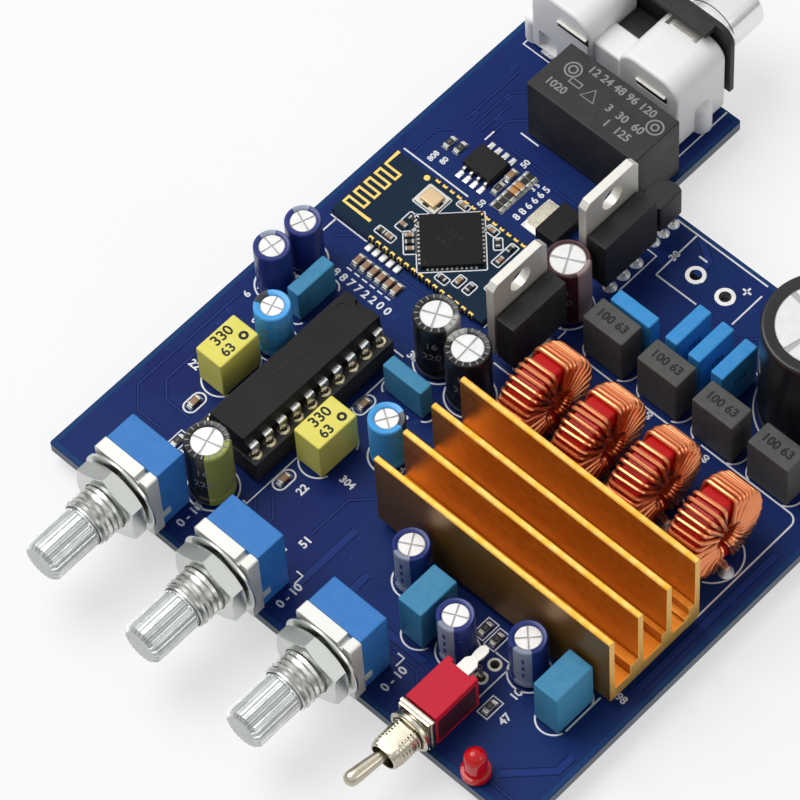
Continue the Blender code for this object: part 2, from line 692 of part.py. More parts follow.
def controls(build):
    """Three rotary controls: plastic body, zinc plate with its threaded bush, and shaft."""
    names = ("left", "middle", "right")
    plate_back = CONTROL_PLATE_FRONT + CONTROL_PLATE_DEPTH
    bore = SHAFT_DIAMETER / 2 + BORE_GAP
    bush_radius = BUSH_DIAMETER / 2
    half = CONTROL_PLATE_WIDTH / 2
    foot = -(CONTROL_AXIS_HEIGHT - SEAT_GAP)
    top = CONTROL_BODY_HEIGHT - CONTROL_AXIS_HEIGHT + SEAT_GAP
    corner = 1.5 * MM
    plate_outline = ([(-half, foot), (half, foot)]
                     + arc((half - corner, top - corner), corner, 0, 90, 2)
                     + arc((corner - half, top - corner), corner, 90, 180, 2))
    bush = turned([(0.0, BUSH_LENGTH), (bush_radius - 0.4 * MM, BUSH_LENGTH),
                   (bush_radius, BUSH_LENGTH - 0.4 * MM), (bush_radius, -0.4 * MM),
                   (0.0, -0.4 * MM)], 20)
    hole = cylinder(bore, BUSH_LENGTH * 2, 20)
    hole.transform(shift(z=-BUSH_LENGTH / 2))
    plate = prism(plate_outline, CONTROL_PLATE_DEPTH)
    plate.transform(shift(z=-CONTROL_PLATE_DEPTH))
    body = cuboid(CONTROL_BODY_WIDTH, CONTROL_BODY_DEPTH, CONTROL_BODY_HEIGHT)
    shaft = shaft_mesh()
    washer_bore = bush_radius + SEAT_GAP
    washer = ring_mesh(washer_bore, WASHER_DIAMETER / 2, WASHER_THICKNESS, 16)
    nut = nut_mesh(washer_bore)
    for name, x in zip(names, control_places()):
        prefix = "control_" + name
        axis = (x, CONTROL_PLATE_FRONT, CONTROL_AXIS_HEIGHT)
        build.add(prefix + "_body", body, "control_blue",
                  (x - CONTROL_BODY_WIDTH / 2, plate_back + SEAT_GAP, SEAT_GAP), edge=0.35 * MM)
        carrier = build.add(prefix + "_bush", plate, "zinc", axis, TO_FRONT)
        build.cut(carrier, bush, "UNION")
        build.cut(carrier, hole)
        build.add(prefix + "_shaft", shaft, "plated_steel", axis, TO_FRONT)
        washer_y = axis[1] - SEAT_GAP
        nut_y = washer_y - WASHER_THICKNESS - SEAT_GAP
        build.add(prefix + "_washer", washer, "plated_steel",
                  (x, washer_y, CONTROL_AXIS_HEIGHT), TO_FRONT)
        build.add(prefix + "_nut", nut, "plated_steel", (x, nut_y, CONTROL_AXIS_HEIGHT), TO_FRONT)


def ring_mesh(inner, outer, thickness, sides):
    return turned([(inner, thickness), (outer, thickness), (outer, 0.0), (inner, 0.0)],
                  sides, ring=True)


def nut_mesh(bore):
    """A hexagon nut with a round bore, standing on the origin."""
    corner = NUT_ACROSS_FLATS / math.sqrt(3.0)
    blank = bpy.data.objects.new("nut", cylinder(corner, NUT_THICKNESS, 6))
    drill = bpy.data.objects.new("drill", cylinder(bore, NUT_THICKNESS * 3, 24))
    drill.data.transform(shift(z=-NUT_THICKNESS))
    bpy.context.scene.collection.objects.link(drill)
    boolean = blank.modifiers.new("bore", "BOOLEAN")
    boolean.solver = "EXACT"
    boolean.operation = "DIFFERENCE"
    boolean.object = drill
    mesh = settled(blank)
    bpy.data.objects.remove(drill)
    return mesh


def power_switch(build):
    """Lever switch lying on the board, its bush over the front edge."""
    half = SWITCH_BODY_WIDTH / 2
    shell = cuboid(SWITCH_BODY_WIDTH, SWITCH_BODY_DEPTH, SWITCH_BODY_HEIGHT)
    shell.transform(shift(-half, 0.0, 0.0))
    body = build.add("switch_body", shell, "switch_red",
                     (SWITCH_X, SWITCH_BODY_FRONT, SEAT_GAP), edge=0.2 * MM)
    lugs(build, body)
    frame_back = SWITCH_BODY_FRONT - SEAT_GAP
    frame_front = frame_back - SWITCH_FRAME_THICKNESS
    bush_radius = SWITCH_BUSH_DIAMETER / 2
    mouth = SWITCH_BUSH_MOUTH / 2
    socket = LEVER_BALL_RADIUS + BORE_GAP
    axis = (SWITCH_X, frame_front, SWITCH_AXIS_HEIGHT)
    low = -(SWITCH_AXIS_HEIGHT - SEAT_GAP)
    high = SWITCH_BODY_HEIGHT - SWITCH_AXIS_HEIGHT + SEAT_GAP
    rim = half + 0.2 * MM
    outline = [(-rim, low), (rim, low), (rim, high), (-rim, high)]
    plate = prism(outline, SWITCH_FRAME_THICKNESS)
    plate.transform(shift(z=-SWITCH_FRAME_THICKNESS))
    frame = build.add("switch_frame", plate, "nickel", axis, TO_FRONT)
    length = SWITCH_BUSH_LENGTH
    bush = turned([(0.0, length), (bush_radius - 0.4 * MM, length),
                   (bush_radius, length - 0.5 * MM), (bush_radius, -0.3 * MM),
                   (0.0, -0.3 * MM)], 16)
    build.cut(frame, bush, "UNION")
    through = length + SWITCH_FRAME_THICKNESS
    bore = turned([(0.0, through), (mouth, through), (mouth, length),
                   (socket, length - LEVER_PIVOT_DEPTH), (socket, -through), (0.0, -through)], 16)
    build.cut(frame, bore)
    flat = cuboid(SWITCH_BUSH_DIAMETER, SWITCH_BUSH_DIAMETER, length)
    flat.transform(shift(-bush_radius, SWITCH_BUSH_FLAT, SWITCH_RING_THICKNESS + SEAT_GAP * 2))
    build.cut(frame, flat)
    inner = bush_radius + SEAT_GAP
    ring = ring_mesh(inner, SWITCH_RING_DIAMETER / 2, SWITCH_RING_THICKNESS, 12)
    build.add("switch_ring", ring, "nickel", (axis[0], axis[1] - SEAT_GAP, axis[2]), TO_FRONT)
    lever(build, (SWITCH_X, frame_front - length + LEVER_PIVOT_DEPTH, SWITCH_AXIS_HEIGHT))


def lever(build, pivot):
    """Ball, neck and rounded tip, resting at one end of its throw."""
    tip = LEVER_REACH
    ball = LEVER_BALL_RADIUS
    profile = [(0.0, tip), (LEVER_TIP_RADIUS * 0.6, tip - 0.2 * MM),
               (LEVER_TIP_RADIUS, tip - 0.9 * MM), (LEVER_TIP_RADIUS, tip - 2.4 * MM),
               (LEVER_RADIUS, LEVER_PIVOT_DEPTH), (LEVER_RADIUS, ball * 0.8),
               (ball, ball * 0.3), (ball, -ball * 0.3), (ball * 0.6, -ball * 0.8), (0.0, -ball)]
    turn = Matrix.Rotation(-LEVER_THROW, 4, "Z") @ TO_FRONT
    build.add("switch_lever", turned(profile, 12), "nickel", pivot, turn)


def lugs(build, body):
    """Solder lugs out of the switch's back: a long one above and two short ones below."""
    back = SWITCH_BODY_DEPTH
    half = LUG_WIDTH / 2
    tongue = half * 0.4
    neck = LUG_LENGTH * 0.45
    root = -0.5 * MM
    outline = [(-half, root), (half, root), (half, neck), (tongue, neck + 0.9 * MM),
               (tongue, LUG_LENGTH), (-tongue, LUG_LENGTH), (-tongue, neck + 0.9 * MM),
               (-half, neck)]
    top = SWITCH_BODY_HEIGHT - 1.2 * MM
    blade = prism(outline, LUG_THICKNESS)
    short = cuboid(LUG_THICKNESS * 2, 1.6 * MM - root, LUG_THICKNESS)
    pieces = [(blade, shift(0.0, back, top))]
    for drop in (2.0 * MM, 4.0 * MM):
        pieces.append((short, shift(-LUG_THICKNESS, back + root, top - drop)))
    build.fuse(body, joined(pieces), "nickel")


def indicator_lamp(build):
    dome = arc((0.0, LAMP_HEIGHT - LAMP_RADIUS), LAMP_RADIUS, 90, 0, 4)
    profile = [(max(x, 0.0), z) for x, z in dome]
    profile[0] = (0.0, LAMP_HEIGHT)
    profile += [(LAMP_RADIUS, LAMP_FLANGE_HEIGHT), (LAMP_FLANGE_RADIUS, LAMP_FLANGE_HEIGHT),
                (LAMP_FLANGE_RADIUS, 0.0), (0.0, 0.0)]
    build.add("indicator_lamp", turned(profile, 12), "lamp_red", (LAMP_X, LAMP_Y, SEAT_GAP))


def input_front():
    return BOARD_DEPTH + INPUT_LEG_DEPTH + INPUT_OVERHANG - INPUT_SHELL_DEPTH - SEAT_GAP


def relay_front():
    return input_front() - RELAY_TO_INPUT - RELAY_DEPTH


def relay_left():
    return INPUT_LEG_WIDTH - RELAY_TO_LEG_EDGE - RELAY_WIDTH


def relay(build):
    case = cuboid(RELAY_WIDTH, RELAY_DEPTH, RELAY_HEIGHT)
    build.add("relay", case, "black_plastic", (relay_left(), relay_front(), SEAT_GAP),
              edge=0.35 * MM)


def input_centre():
    return INPUT_LEG_WIDTH / 2


def jack_places():
    return [input_centre() - INPUT_PITCH / 2, input_centre() + INPUT_PITCH / 2]


def line_input(build):
    """Two shells on one web, a black back plate, and the two screened sockets."""
    front = input_front()
    back = front + INPUT_SHELL_DEPTH
    half = INPUT_SHELL_WIDTH / 2
    r = INPUT_SHELL_ROUND
    top = INPUT_SHELL_HEIGHT
    arch = ([(-half, SEAT_GAP), (half, SEAT_GAP)]
            + arc((half - r, top - r), r, 0, 90, 4)
            + arc((r - half, top - r), r, 90, 180, 4))
    shell = prism(arch, INPUT_SHELL_DEPTH)
    left, right = jack_places()
    housing = build.add("input_housing", shell, "white_plastic", (left, back, 0.0), TO_FRONT)
    web_width = INPUT_PITCH - INPUT_SHELL_WIDTH + 2 * MM
    web_depth = INPUT_SHELL_DEPTH * 0.5
    build.cut(housing, joined([(prism(arch, INPUT_SHELL_DEPTH), shift(x=INPUT_PITCH))]), "UNION")
    web = cuboid(web_width, INPUT_WEB_HEIGHT, web_depth)
    web.transform(shift(half - 1.0 * MM, SEAT_GAP, INPUT_SHELL_DEPTH - web_depth - 1.0 * MM))
    build.cut(housing, web, "UNION")
    foot = cylinder(INPUT_FOOT_RADIUS, 1.6 * MM, 8)
    feet = [(foot, shift(input_centre() + x - left, SEAT_GAP, INPUT_SHELL_DEPTH - y) @ TO_BACK)
            for x, y in INPUT_FEET]
    build.cut(housing, joined(feet), "UNION")
    slot = cuboid(INPUT_SLOT_WIDTH, INPUT_SLOT_HEIGHT, INPUT_SLOT_DEPTH * 2)
    slot_left = INPUT_SLOT_OFFSET - INPUT_SLOT_WIDTH / 2
    cuts = [(slot, shift(x + slot_left, INPUT_SLOT_LEVEL, INPUT_SHELL_DEPTH - INPUT_SLOT_DEPTH))
            for x in (0.0, INPUT_PITCH)]
    width, drop, depth = INPUT_RECESS
    recess = cuboid(width, drop * 2, depth * 2)
    cuts += [(recess, shift(x - width / 2, top - drop, -depth)) for x in (0.0, INPUT_PITCH)]
    build.cut(housing, joined(cuts))
    input_lugs(build, housing)
    back_plate(build, back + SEAT_GAP)
    screened_sockets(build, back + SEAT_GAP + INPUT_PLATE_THICKNESS)


def back_plate(build, y):
    """Arched sheet behind the shells, with a lip along its top."""
    half = INPUT_PLATE_WIDTH / 2
    r = INPUT_PLATE_CORNER
    top = INPUT_PLATE_TOP
    outline = ([(-half, INPUT_PLATE_BOTTOM), (half, INPUT_PLATE_BOTTOM)]
               + arc((half - r, top - r), r, 0, 90, 4)
               + arc((r - half, top - r), r, 90, 180, 4))
    sheet = prism(outline, INPUT_PLATE_THICKNESS)
    plate = build.add("input_back_plate", sheet, "black_plastic",
                      (input_centre(), y + INPUT_PLATE_THICKNESS, 0.0), TO_FRONT)
    lip_width = INPUT_PLATE_WIDTH - 2 * r
    lip = cuboid(lip_width, INPUT_PLATE_LIP_HEIGHT, INPUT_PLATE_LIP)
    lip.transform(shift(-lip_width / 2, top - INPUT_PLATE_LIP_HEIGHT, 0.0))
    build.cut(plate, lip, "UNION")


def screened_sockets(build, y):
    """Sleeve, insulator and centre contact of each socket, standing out of the back."""
    bore = SLEEVE_RADIUS - SLEEVE_WALL
    reach = SLEEVE_REACH
    flange = SLEEVE_RADIUS + 0.6 * MM
    sleeve = turned([(bore, reach), (SLEEVE_RADIUS - 0.2 * MM, reach),
                     (SLEEVE_RADIUS, reach - 0.3 * MM), (SLEEVE_RADIUS, 0.6 * MM),
                     (flange, 0.6 * MM), (flange, 0.0), (bore, 0.0)], 18, ring=True)
    seat = PIN_SOCKET_RADIUS + SEAT_GAP
    foot = bore - SEAT_GAP
    insulator = turned([(seat, INSULATOR_REACH), (INSULATOR_RADIUS - 0.3 * MM, INSULATOR_REACH),
                        (INSULATOR_RADIUS, INSULATOR_REACH - 0.3 * MM),
                        (INSULATOR_RADIUS, 1.2 * MM), (foot, 1.0 * MM),
                        (foot, 0.0), (seat, 0.0)], 12, ring=True)
    contact = turned([(0.0, 0.6 * MM), (PIN_SOCKET_BORE, 0.6 * MM),
                      (PIN_SOCKET_BORE, PIN_SOCKET_REACH), (PIN_SOCKET_RADIUS, PIN_SOCKET_REACH),
                      (PIN_SOCKET_RADIUS, 0.0), (0.0, 0.0)], 12)
    for side, x in zip(("left", "right"), jack_places()):
        place = (x, y + SEAT_GAP, INPUT_AXIS_HEIGHT)
        prefix = "input_" + side
        build.add(prefix + "_sleeve", sleeve, "plated_steel", place, TO_BACK)
        build.add(prefix + "_insulator", insulator, "white_plastic", place, TO_BACK)
        build.add(prefix + "_contact", contact, "brass", place, TO_BACK)


def input_lugs(build, housing):
    """Contact springs whose ends stand out of the slots of the shells."""
    t = INPUT_LUG_THICKNESS
    width = INPUT_SLOT_WIDTH - 2 * SEAT_GAP
    level = INPUT_SLOT_LEVEL + INPUT_SLOT_HEIGHT - SEAT_GAP - t
    strip = cuboid(width, t, INPUT_SLOT_DEPTH + 1.3 * MM)
    low = INPUT_SHELL_DEPTH - INPUT_SLOT_DEPTH - 0.5 * MM
    left = INPUT_SLOT_OFFSET - width / 2
    pieces = [(strip, shift(x + left, level, low)) for x in (0.0, INPUT_PITCH)]
    build.fuse(housing, joined(pieces), "nickel")


def regulators(build):
    """Two standing regulators: metal tab, and moulded case with its three legs."""
    half = REGULATOR_WIDTH / 2
    case_low = REGULATOR_STANDOFF
    case_high = case_low + REGULATOR_CASE_HEIGHT
    tab_high = case_high + REGULATOR_TAB_RISE
    cut = REGULATOR_TAB_CHAMFER
    outline = [(-half, case_low), (half, case_low), (half, tab_high - cut), (half - cut, tab_high),
               (cut - half, tab_high), (-half, tab_high - cut)]
    tab = prism(outline, REGULATOR_TAB_THICKNESS)
    hole = cylinder(REGULATOR_TAB_HOLE / 2, REGULATOR_TAB_THICKNESS * 3, 14)
    hole.transform(shift(y=tab_high - REGULATOR_TAB_RISE / 2, z=-REGULATOR_TAB_THICKNESS))
    case = cuboid(REGULATOR_CASE_THICKNESS, REGULATOR_WIDTH, REGULATOR_CASE_HEIGHT)
    case.transform(shift(y=-half))
    leg_height = case_low - SEAT_GAP + 0.5 * MM
    leg = cuboid(REGULATOR_LEAD_THICKNESS, REGULATOR_LEAD_WIDTH, leg_height)
    leg_x = (REGULATOR_CASE_THICKNESS - REGULATOR_LEAD_THICKNESS) / 2
    legs = joined([(leg, shift(leg_x, i * REGULATOR_LEAD_PITCH - REGULATOR_LEAD_WIDTH / 2,
                               SEAT_GAP - case_low)) for i in (-1, 0, 1)])
    for name, (x, y) in zip(("front", "back"), REGULATOR_PLACES):
        prefix = "regulator_" + name
        plate = build.add(prefix + "_tab", tab, "nickel", (x, y, 0.0), TO_RIGHT)
        build.cut(plate, hole)
        place = (x + REGULATOR_TAB_THICKNESS + SEAT_GAP, y, case_low)
        moulding = build.add(prefix + "_case", case, "black_plastic", place, edge=0.3 * MM)
        build.fuse(moulding, legs, "solder")


def transistor(build):
    """Half-round transistor held above the board on three legs."""
    r = TRANSISTOR_RADIUS
    face = math.degrees(math.acos(TRANSISTOR_FLAT / r))
    outline = arc((0.0, 0.0), r, face, 360 - face, 9)
    case = build.add("transistor", prism(outline, TRANSISTOR_HEIGHT), "black_plastic",
                     (TRANSISTOR_X, TRANSISTOR_Y, TRANSISTOR_STANDOFF), edge=0.25 * MM)
    leg = cylinder(TRANSISTOR_LEG_RADIUS, TRANSISTOR_STANDOFF - SEAT_GAP + 0.5 * MM, 6)
    low = SEAT_GAP - TRANSISTOR_STANDOFF
    legs = [(leg, shift(0.0, i * TRANSISTOR_LEG_PITCH, low)) for i in (-1, 0, 1)]
    build.fuse(case, joined(legs), "solder")


def flat_regulator_case():
    width, depth, height = FLAT_CASE_SIZE
    case = finished(cuboid(width, depth, height + SOLDERED), "black_plastic", 0.25 * MM)
    return case, shift(FLAT_CASE_X, FLAT_CASE_Y, -SOLDERED)


def flat_regulator_tabs():
    """The broad tab on one side of the flat regulator and two legs on the other."""
    width, depth, height = FLAT_CASE_SIZE
    middle = FLAT_CASE_Y + depth / 2
    bite = 0.3 * MM
    sink = SOLDERED * 0.5
    thick = FLAT_TAB_THICKNESS + sink
    tab = finished(cuboid(FLAT_TAB_LENGTH + bite, FLAT_TAB_WIDTH, thick), "nickel")
    leg = finished(cuboid(FLAT_LEAD_LENGTH + bite, 0.8 * MM, thick), "nickel")
    pieces = [(tab, shift(FLAT_CASE_X - FLAT_TAB_LENGTH, middle - FLAT_TAB_WIDTH / 2, -sink))]
    for i in (-1, 1):
        leg_y = middle + i * FLAT_LEAD_SPREAD - 0.4 * MM
        pieces.append((leg, shift(FLAT_CASE_X + width - bite, leg_y, -sink)))
    return pieces


def small_chip_case():
    width, depth, height = SMALL_CHIP_SIZE
    case = finished(cuboid(width, depth, height + SOLDERED), "black_plastic", 0.2 * MM)
    return case, shift(SMALL_CHIP_X, SMALL_CHIP_Y, -SOLDERED)


def small_chip_legs():
    width, depth, height = SMALL_CHIP_SIZE
    t = SMALL_CHIP_LEG_THICKNESS
    reach = SMALL_CHIP_LEG_REACH
    rise = height / 2
    knee = reach / 2
    root = -0.3 * MM
    side = [(root, rise), (knee - t, rise), (knee - t, -t), (reach, -t), (reach, t),
            (knee, t), (knee, rise + t), (root, rise + t)]
    leg = finished(prism(side, SMALL_CHIP_LEG_WIDTH), "solder")
    first = SMALL_CHIP_X + width / 2 - SMALL_CHIP_PITCH * (SMALL_CHIP_LEGS - 1) / 2
    about = Matrix.Rotation(math.pi, 4, "Z")
    legs = []
    for i in range(SMALL_CHIP_LEGS):
        x = first + SMALL_CHIP_PITCH * i
        back = shift(x - SMALL_CHIP_LEG_WIDTH / 2, SMALL_CHIP_Y + depth, 0.0)
        front = shift(x + SMALL_CHIP_LEG_WIDTH / 2, SMALL_CHIP_Y, 0.0)
        legs.append((leg, back @ TO_RIGHT))
        legs.append((leg, front @ about @ TO_RIGHT))
    return legs


def chip_parts():
    """Chip capacitors and resistors, small blocks soldered flat on the board."""
    def block(x, y, height, finish, across=False):
        width, depth = (CHIP_LENGTH, CHIP_WIDTH) if across else (CHIP_WIDTH, CHIP_LENGTH)
        mesh = finished(cuboid(width, depth, height + SOLDERED), finish)
        return mesh, shift(x - width / 2, y - depth / 2, -SOLDERED)

    high = CHIP_CAPACITOR_HEIGHT
    row_x, row_y = CHIP_ROW_START
    blocks = [block(row_x + CHIP_ROW_PITCH * i, row_y, high, "ceramic_tan")
              for i in range(CHIP_ROW_COUNT)]
    blocks += [block(x * MM, y * MM, high, "ceramic_tan") for x, y in CHIP_LOOSE_CAPACITORS]
    for i in range(CHIP_CLUSTER_COUNT[0]):
        for k in range(CHIP_CLUSTER_COUNT[1]):
            x = CHIP_CLUSTER_START[0] + CHIP_CLUSTER_PITCH[0] * i
            y = CHIP_CLUSTER_START[1] + CHIP_CLUSTER_PITCH[1] * k
            blocks.append(block(x, y, CHIP_HEIGHT, "black_plastic", across=True))
    pair_x, pair_y = CHIP_PAIR_START
    blocks += [block(pair_x + CHIP_PAIR_PITCH * i, pair_y, CHIP_HEIGHT, "black_plastic")
               for i in range(2)]
    blocks += [block(x * MM, y * MM, CHIP_HEIGHT, "black_plastic")
               for x, y in CHIP_LOOSE_RESISTORS]
    return blocks


def wireless_module(build):
    """Thin green card with its chip set at forty-five degrees, and a crystal."""
    card = cuboid(MODULE_WIDTH, MODULE_DEPTH, MODULE_THICKNESS)
    module = build.add("wireless_module", card, "module_green", (MODULE_X, MODULE_Y, SEAT_GAP))
    side = MODULE_CHIP_SIDE
    low = MODULE_THICKNESS - 0.3 * MM
    chip = cuboid(side, side, MODULE_CHIP_HEIGHT + 0.3 * MM)
    chip.transform(shift(-side / 2, -side / 2, 0.0))
    chip.transform(Matrix.Rotation(math.radians(45.0), 4, "Z"))
    chip.transform(shift(MODULE_CHIP_X, MODULE_CHIP_Y, low))
    build.fuse(module, chip, "black_plastic")
    width, depth, height = MODULE_CRYSTAL_SIZE
    crystal = cuboid(width, depth, height + 0.3 * MM)
    crystal.transform(shift(MODULE_CRYSTAL_X, MODULE_CRYSTAL_Y, low))
    build.fuse(module, crystal, "plated_steel")


def tone_rows():
    return [TONE_CENTRE_X - TONE_ROW_SPACING / 2, TONE_CENTRE_X + TONE_ROW_SPACING / 2]


def tone_leg_places():
    return [TONE_FIRST_Y + TONE_PITCH * i for i in range(TONE_LEGS)]


def tone_control_chip(build):
    """Twenty-legged chip standing in a turned-pin socket."""
    ys = tone_leg_places()
    rows = tone_rows()
    length = ys[-1] - ys[0] + 2 * SOCKET_END
    rail = SOCKET_RAIL_WIDTH
    outer = TONE_ROW_SPACING + rail
    block = cuboid(outer, length, SOCKET_HEIGHT)
    corner = (TONE_CENTRE_X - outer / 2, ys[0] - SOCKET_END, SEAT_GAP)
    frame = build.add("chip_socket", block, "black_plastic", corner)
    inner = outer - 2 * rail
    bay = (length - 3 * SOCKET_BAR) / 2
    opening = cuboid(inner, bay, SOCKET_HEIGHT * 3)
    bays = [(opening, shift(rail, SOCKET_BAR + (bay + SOCKET_BAR) * i, -SOCKET_HEIGHT))
            for i in range(2)]
    build.cut(frame, joined(bays))
    bite = 0.2 * MM
    cup = cylinder(SOCKET_CUP_RADIUS, SOCKET_CUP_HEIGHT + bite, 6)
    cups = [(cup, shift(x - corner[0], y - corner[1], SOCKET_HEIGHT - bite))
            for x in rows for y in ys]
    build.fuse(frame, joined(cups), "brass")
    middle = (ys[0] + ys[-1]) / 2
    half = TONE_CHIP_WIDTH / 2
    taper = 0.35 * MM
    high = TONE_CHIP_HEIGHT
    section = [(taper - half, 0.0), (half - taper, 0.0), (half, high / 2), (half - taper, high),
               (taper - half, high), (-half, high / 2)]
    body = prism(section, TONE_CHIP_LENGTH)
    body.transform(TO_FRONT)
    body.transform(shift(y=TONE_CHIP_LENGTH / 2))
    chip = build.add("tone_chip", body, "black_plastic", (TONE_CENTRE_X, middle, TONE_CHIP_LEVEL))
    t = TONE_LEG_THICKNESS
    shoulder = high / 2
    start = half - 0.4 * MM
    knee = TONE_ROW_SPACING / 2 + t / 2
    low = 2 * SEAT_GAP + SOCKET_HEIGHT + SOCKET_CUP_HEIGHT - TONE_CHIP_LEVEL
    bend = [(start, shoulder - t / 2), (knee - t, shoulder - t / 2), (knee - t, low), (knee, low),
            (knee, shoulder + t / 2), (start, shoulder + t / 2)]
    leg = prism(bend, TONE_LEG_WIDTH)
    about = Matrix.Rotation(math.pi, 4, "Z")
    legs = []
    for y in ys:
        right = shift(y=y - middle + TONE_LEG_WIDTH / 2) @ TO_FRONT
        left = shift(y=y - middle - TONE_LEG_WIDTH / 2) @ about @ TO_FRONT
        legs += [(leg, right), (leg, left)]
    build.fuse(chip, joined(legs), "solder")


def heatsink_level():
    return SEAT_GAP + AMPLIFIER_CHIP_SIZE[2] + SEAT_GAP


def heatsink_depth():
    return HEATSINK_FIN_PITCH * (HEATSINK_FINS - 1) + HEATSINK_FIN


def screw_places():
    middle = HEATSINK_LEFT + HEATSINK_LENGTH / 2
    y = HEATSINK_FRONT + HEATSINK_FIN_PITCH * 1.5 + HEATSINK_FIN / 2
    return [(middle - SCREW_SPREAD / 2, y), (middle + SCREW_SPREAD / 2, y)]


def heatsink(build):
    """Extruded heatsink: four fins, a raised ledge in front of each later fin, two screws."""
    points = [(0.0, 0.0), (heatsink_depth(), 0.0)]
    for i in reversed(range(HEATSINK_FINS)):
        front = HEATSINK_FIN_PITCH * i
        points += [(front + HEATSINK_FIN, HEATSINK_HEIGHT), (front, HEATSINK_HEIGHT)]
        if i:
            ledge = HEATSINK_BASE + HEATSINK_LEDGE_HEIGHT
            step = front - HEATSINK_LEDGE_WIDTH
            previous = HEATSINK_FIN_PITCH * (i - 1) + HEATSINK_FIN
            points += [(front, ledge), (step, ledge), (step - 0.2 * MM, HEATSINK_BASE),
                       (previous, HEATSINK_BASE)]
    bar = prism(points, HEATSINK_LENGTH)
    bar.transform(TO_RIGHT)
    level = heatsink_level()
    place = (HEATSINK_LEFT, HEATSINK_FRONT, level)
    sink = build.add("heatsink", bar, "gold_anodised", place)
    width, depth, height = AMPLIFIER_CHIP_SIZE
    middle = HEATSINK_LEFT + HEATSINK_LENGTH / 2
    centre = HEATSINK_FRONT + heatsink_depth() / 2
    build.add("amplifier_chip", cuboid(width, depth, height), "black_plastic",
              (middle - width / 2, centre - depth / 2, SEAT_GAP))
    shank = BOARD_THICKNESS + SEAT_GAP + level + HEATSINK_BASE * 0.5
    head = SCREW_HEAD_RADIUS
    screw = turned([(0.0, shank), (SCREW_RADIUS, shank), (SCREW_RADIUS, 0.0), (head, 0.0),
                    (head, -SCREW_HEAD_HEIGHT * 0.6), (head * 0.6, -SCREW_HEAD_HEIGHT),
                    (0.0, -SCREW_HEAD_HEIGHT)], 12)
    foot = -BOARD_THICKNESS - SEAT_GAP - level
    screws = [(screw, shift(x - HEATSINK_LEFT, y - HEATSINK_FRONT, foot))
              for x, y in screw_places()]
    build.fuse(sink, joined(screws), "plated_steel")


def coil_level():
    return CORE_RADIUS + SEAT_GAP + 2 * WIRE_RADIUS + SEAT_GAP


def coil_route():
    """The wire's path: turns round the core's section, then a leg down at each end."""
    clear = SEAT_GAP + WIRE_RADIUS
    outer = CORE_RADIUS + clear
    inner = CORE_BORE_RADIUS - clear
    side = CORE_WIDTH / 2 + clear
    corners = ((outer, side), (outer, -side), (inner, -side), (inner, side))
    sweep = 2 * math.pi - COIL_GAP_ANGLE
    start = -math.pi / 2 + COIL_GAP_ANGLE / 2
    steps = COIL_TURNS * len(corners)
    points = []
    for i in range(steps + 2):
        radius, x = corners[i % len(corners)]
        angle = start + sweep * i / (steps + 1)
        points.append(Vector((x, radius * math.cos(angle), radius * math.sin(angle))))
    foot = SEAT_GAP - coil_level()
    first = points[0].copy()
    last = points[-1].copy()
    first.z = foot
    last.z = foot
    return [first] + points + [last]


def output_coils(build):
    core = ring_mesh(CORE_BORE_RADIUS, CORE_RADIUS, CORE_WIDTH, CORE_SIDES)
    core.transform(shift(z=-CORE_WIDTH / 2))
    core.transform(TO_RIGHT)
    wire = tube(coil_route(), WIRE_RADIUS, 0)
    for i, x in enumerate(COIL_PLACES):
        place = (x, COIL_Y, coil_level())
        prefix = "coil_" + str(i + 1)
        build.add(prefix + "_core", core, "core_red", place)
        build.add(prefix + "_winding", wire, "copper", place)


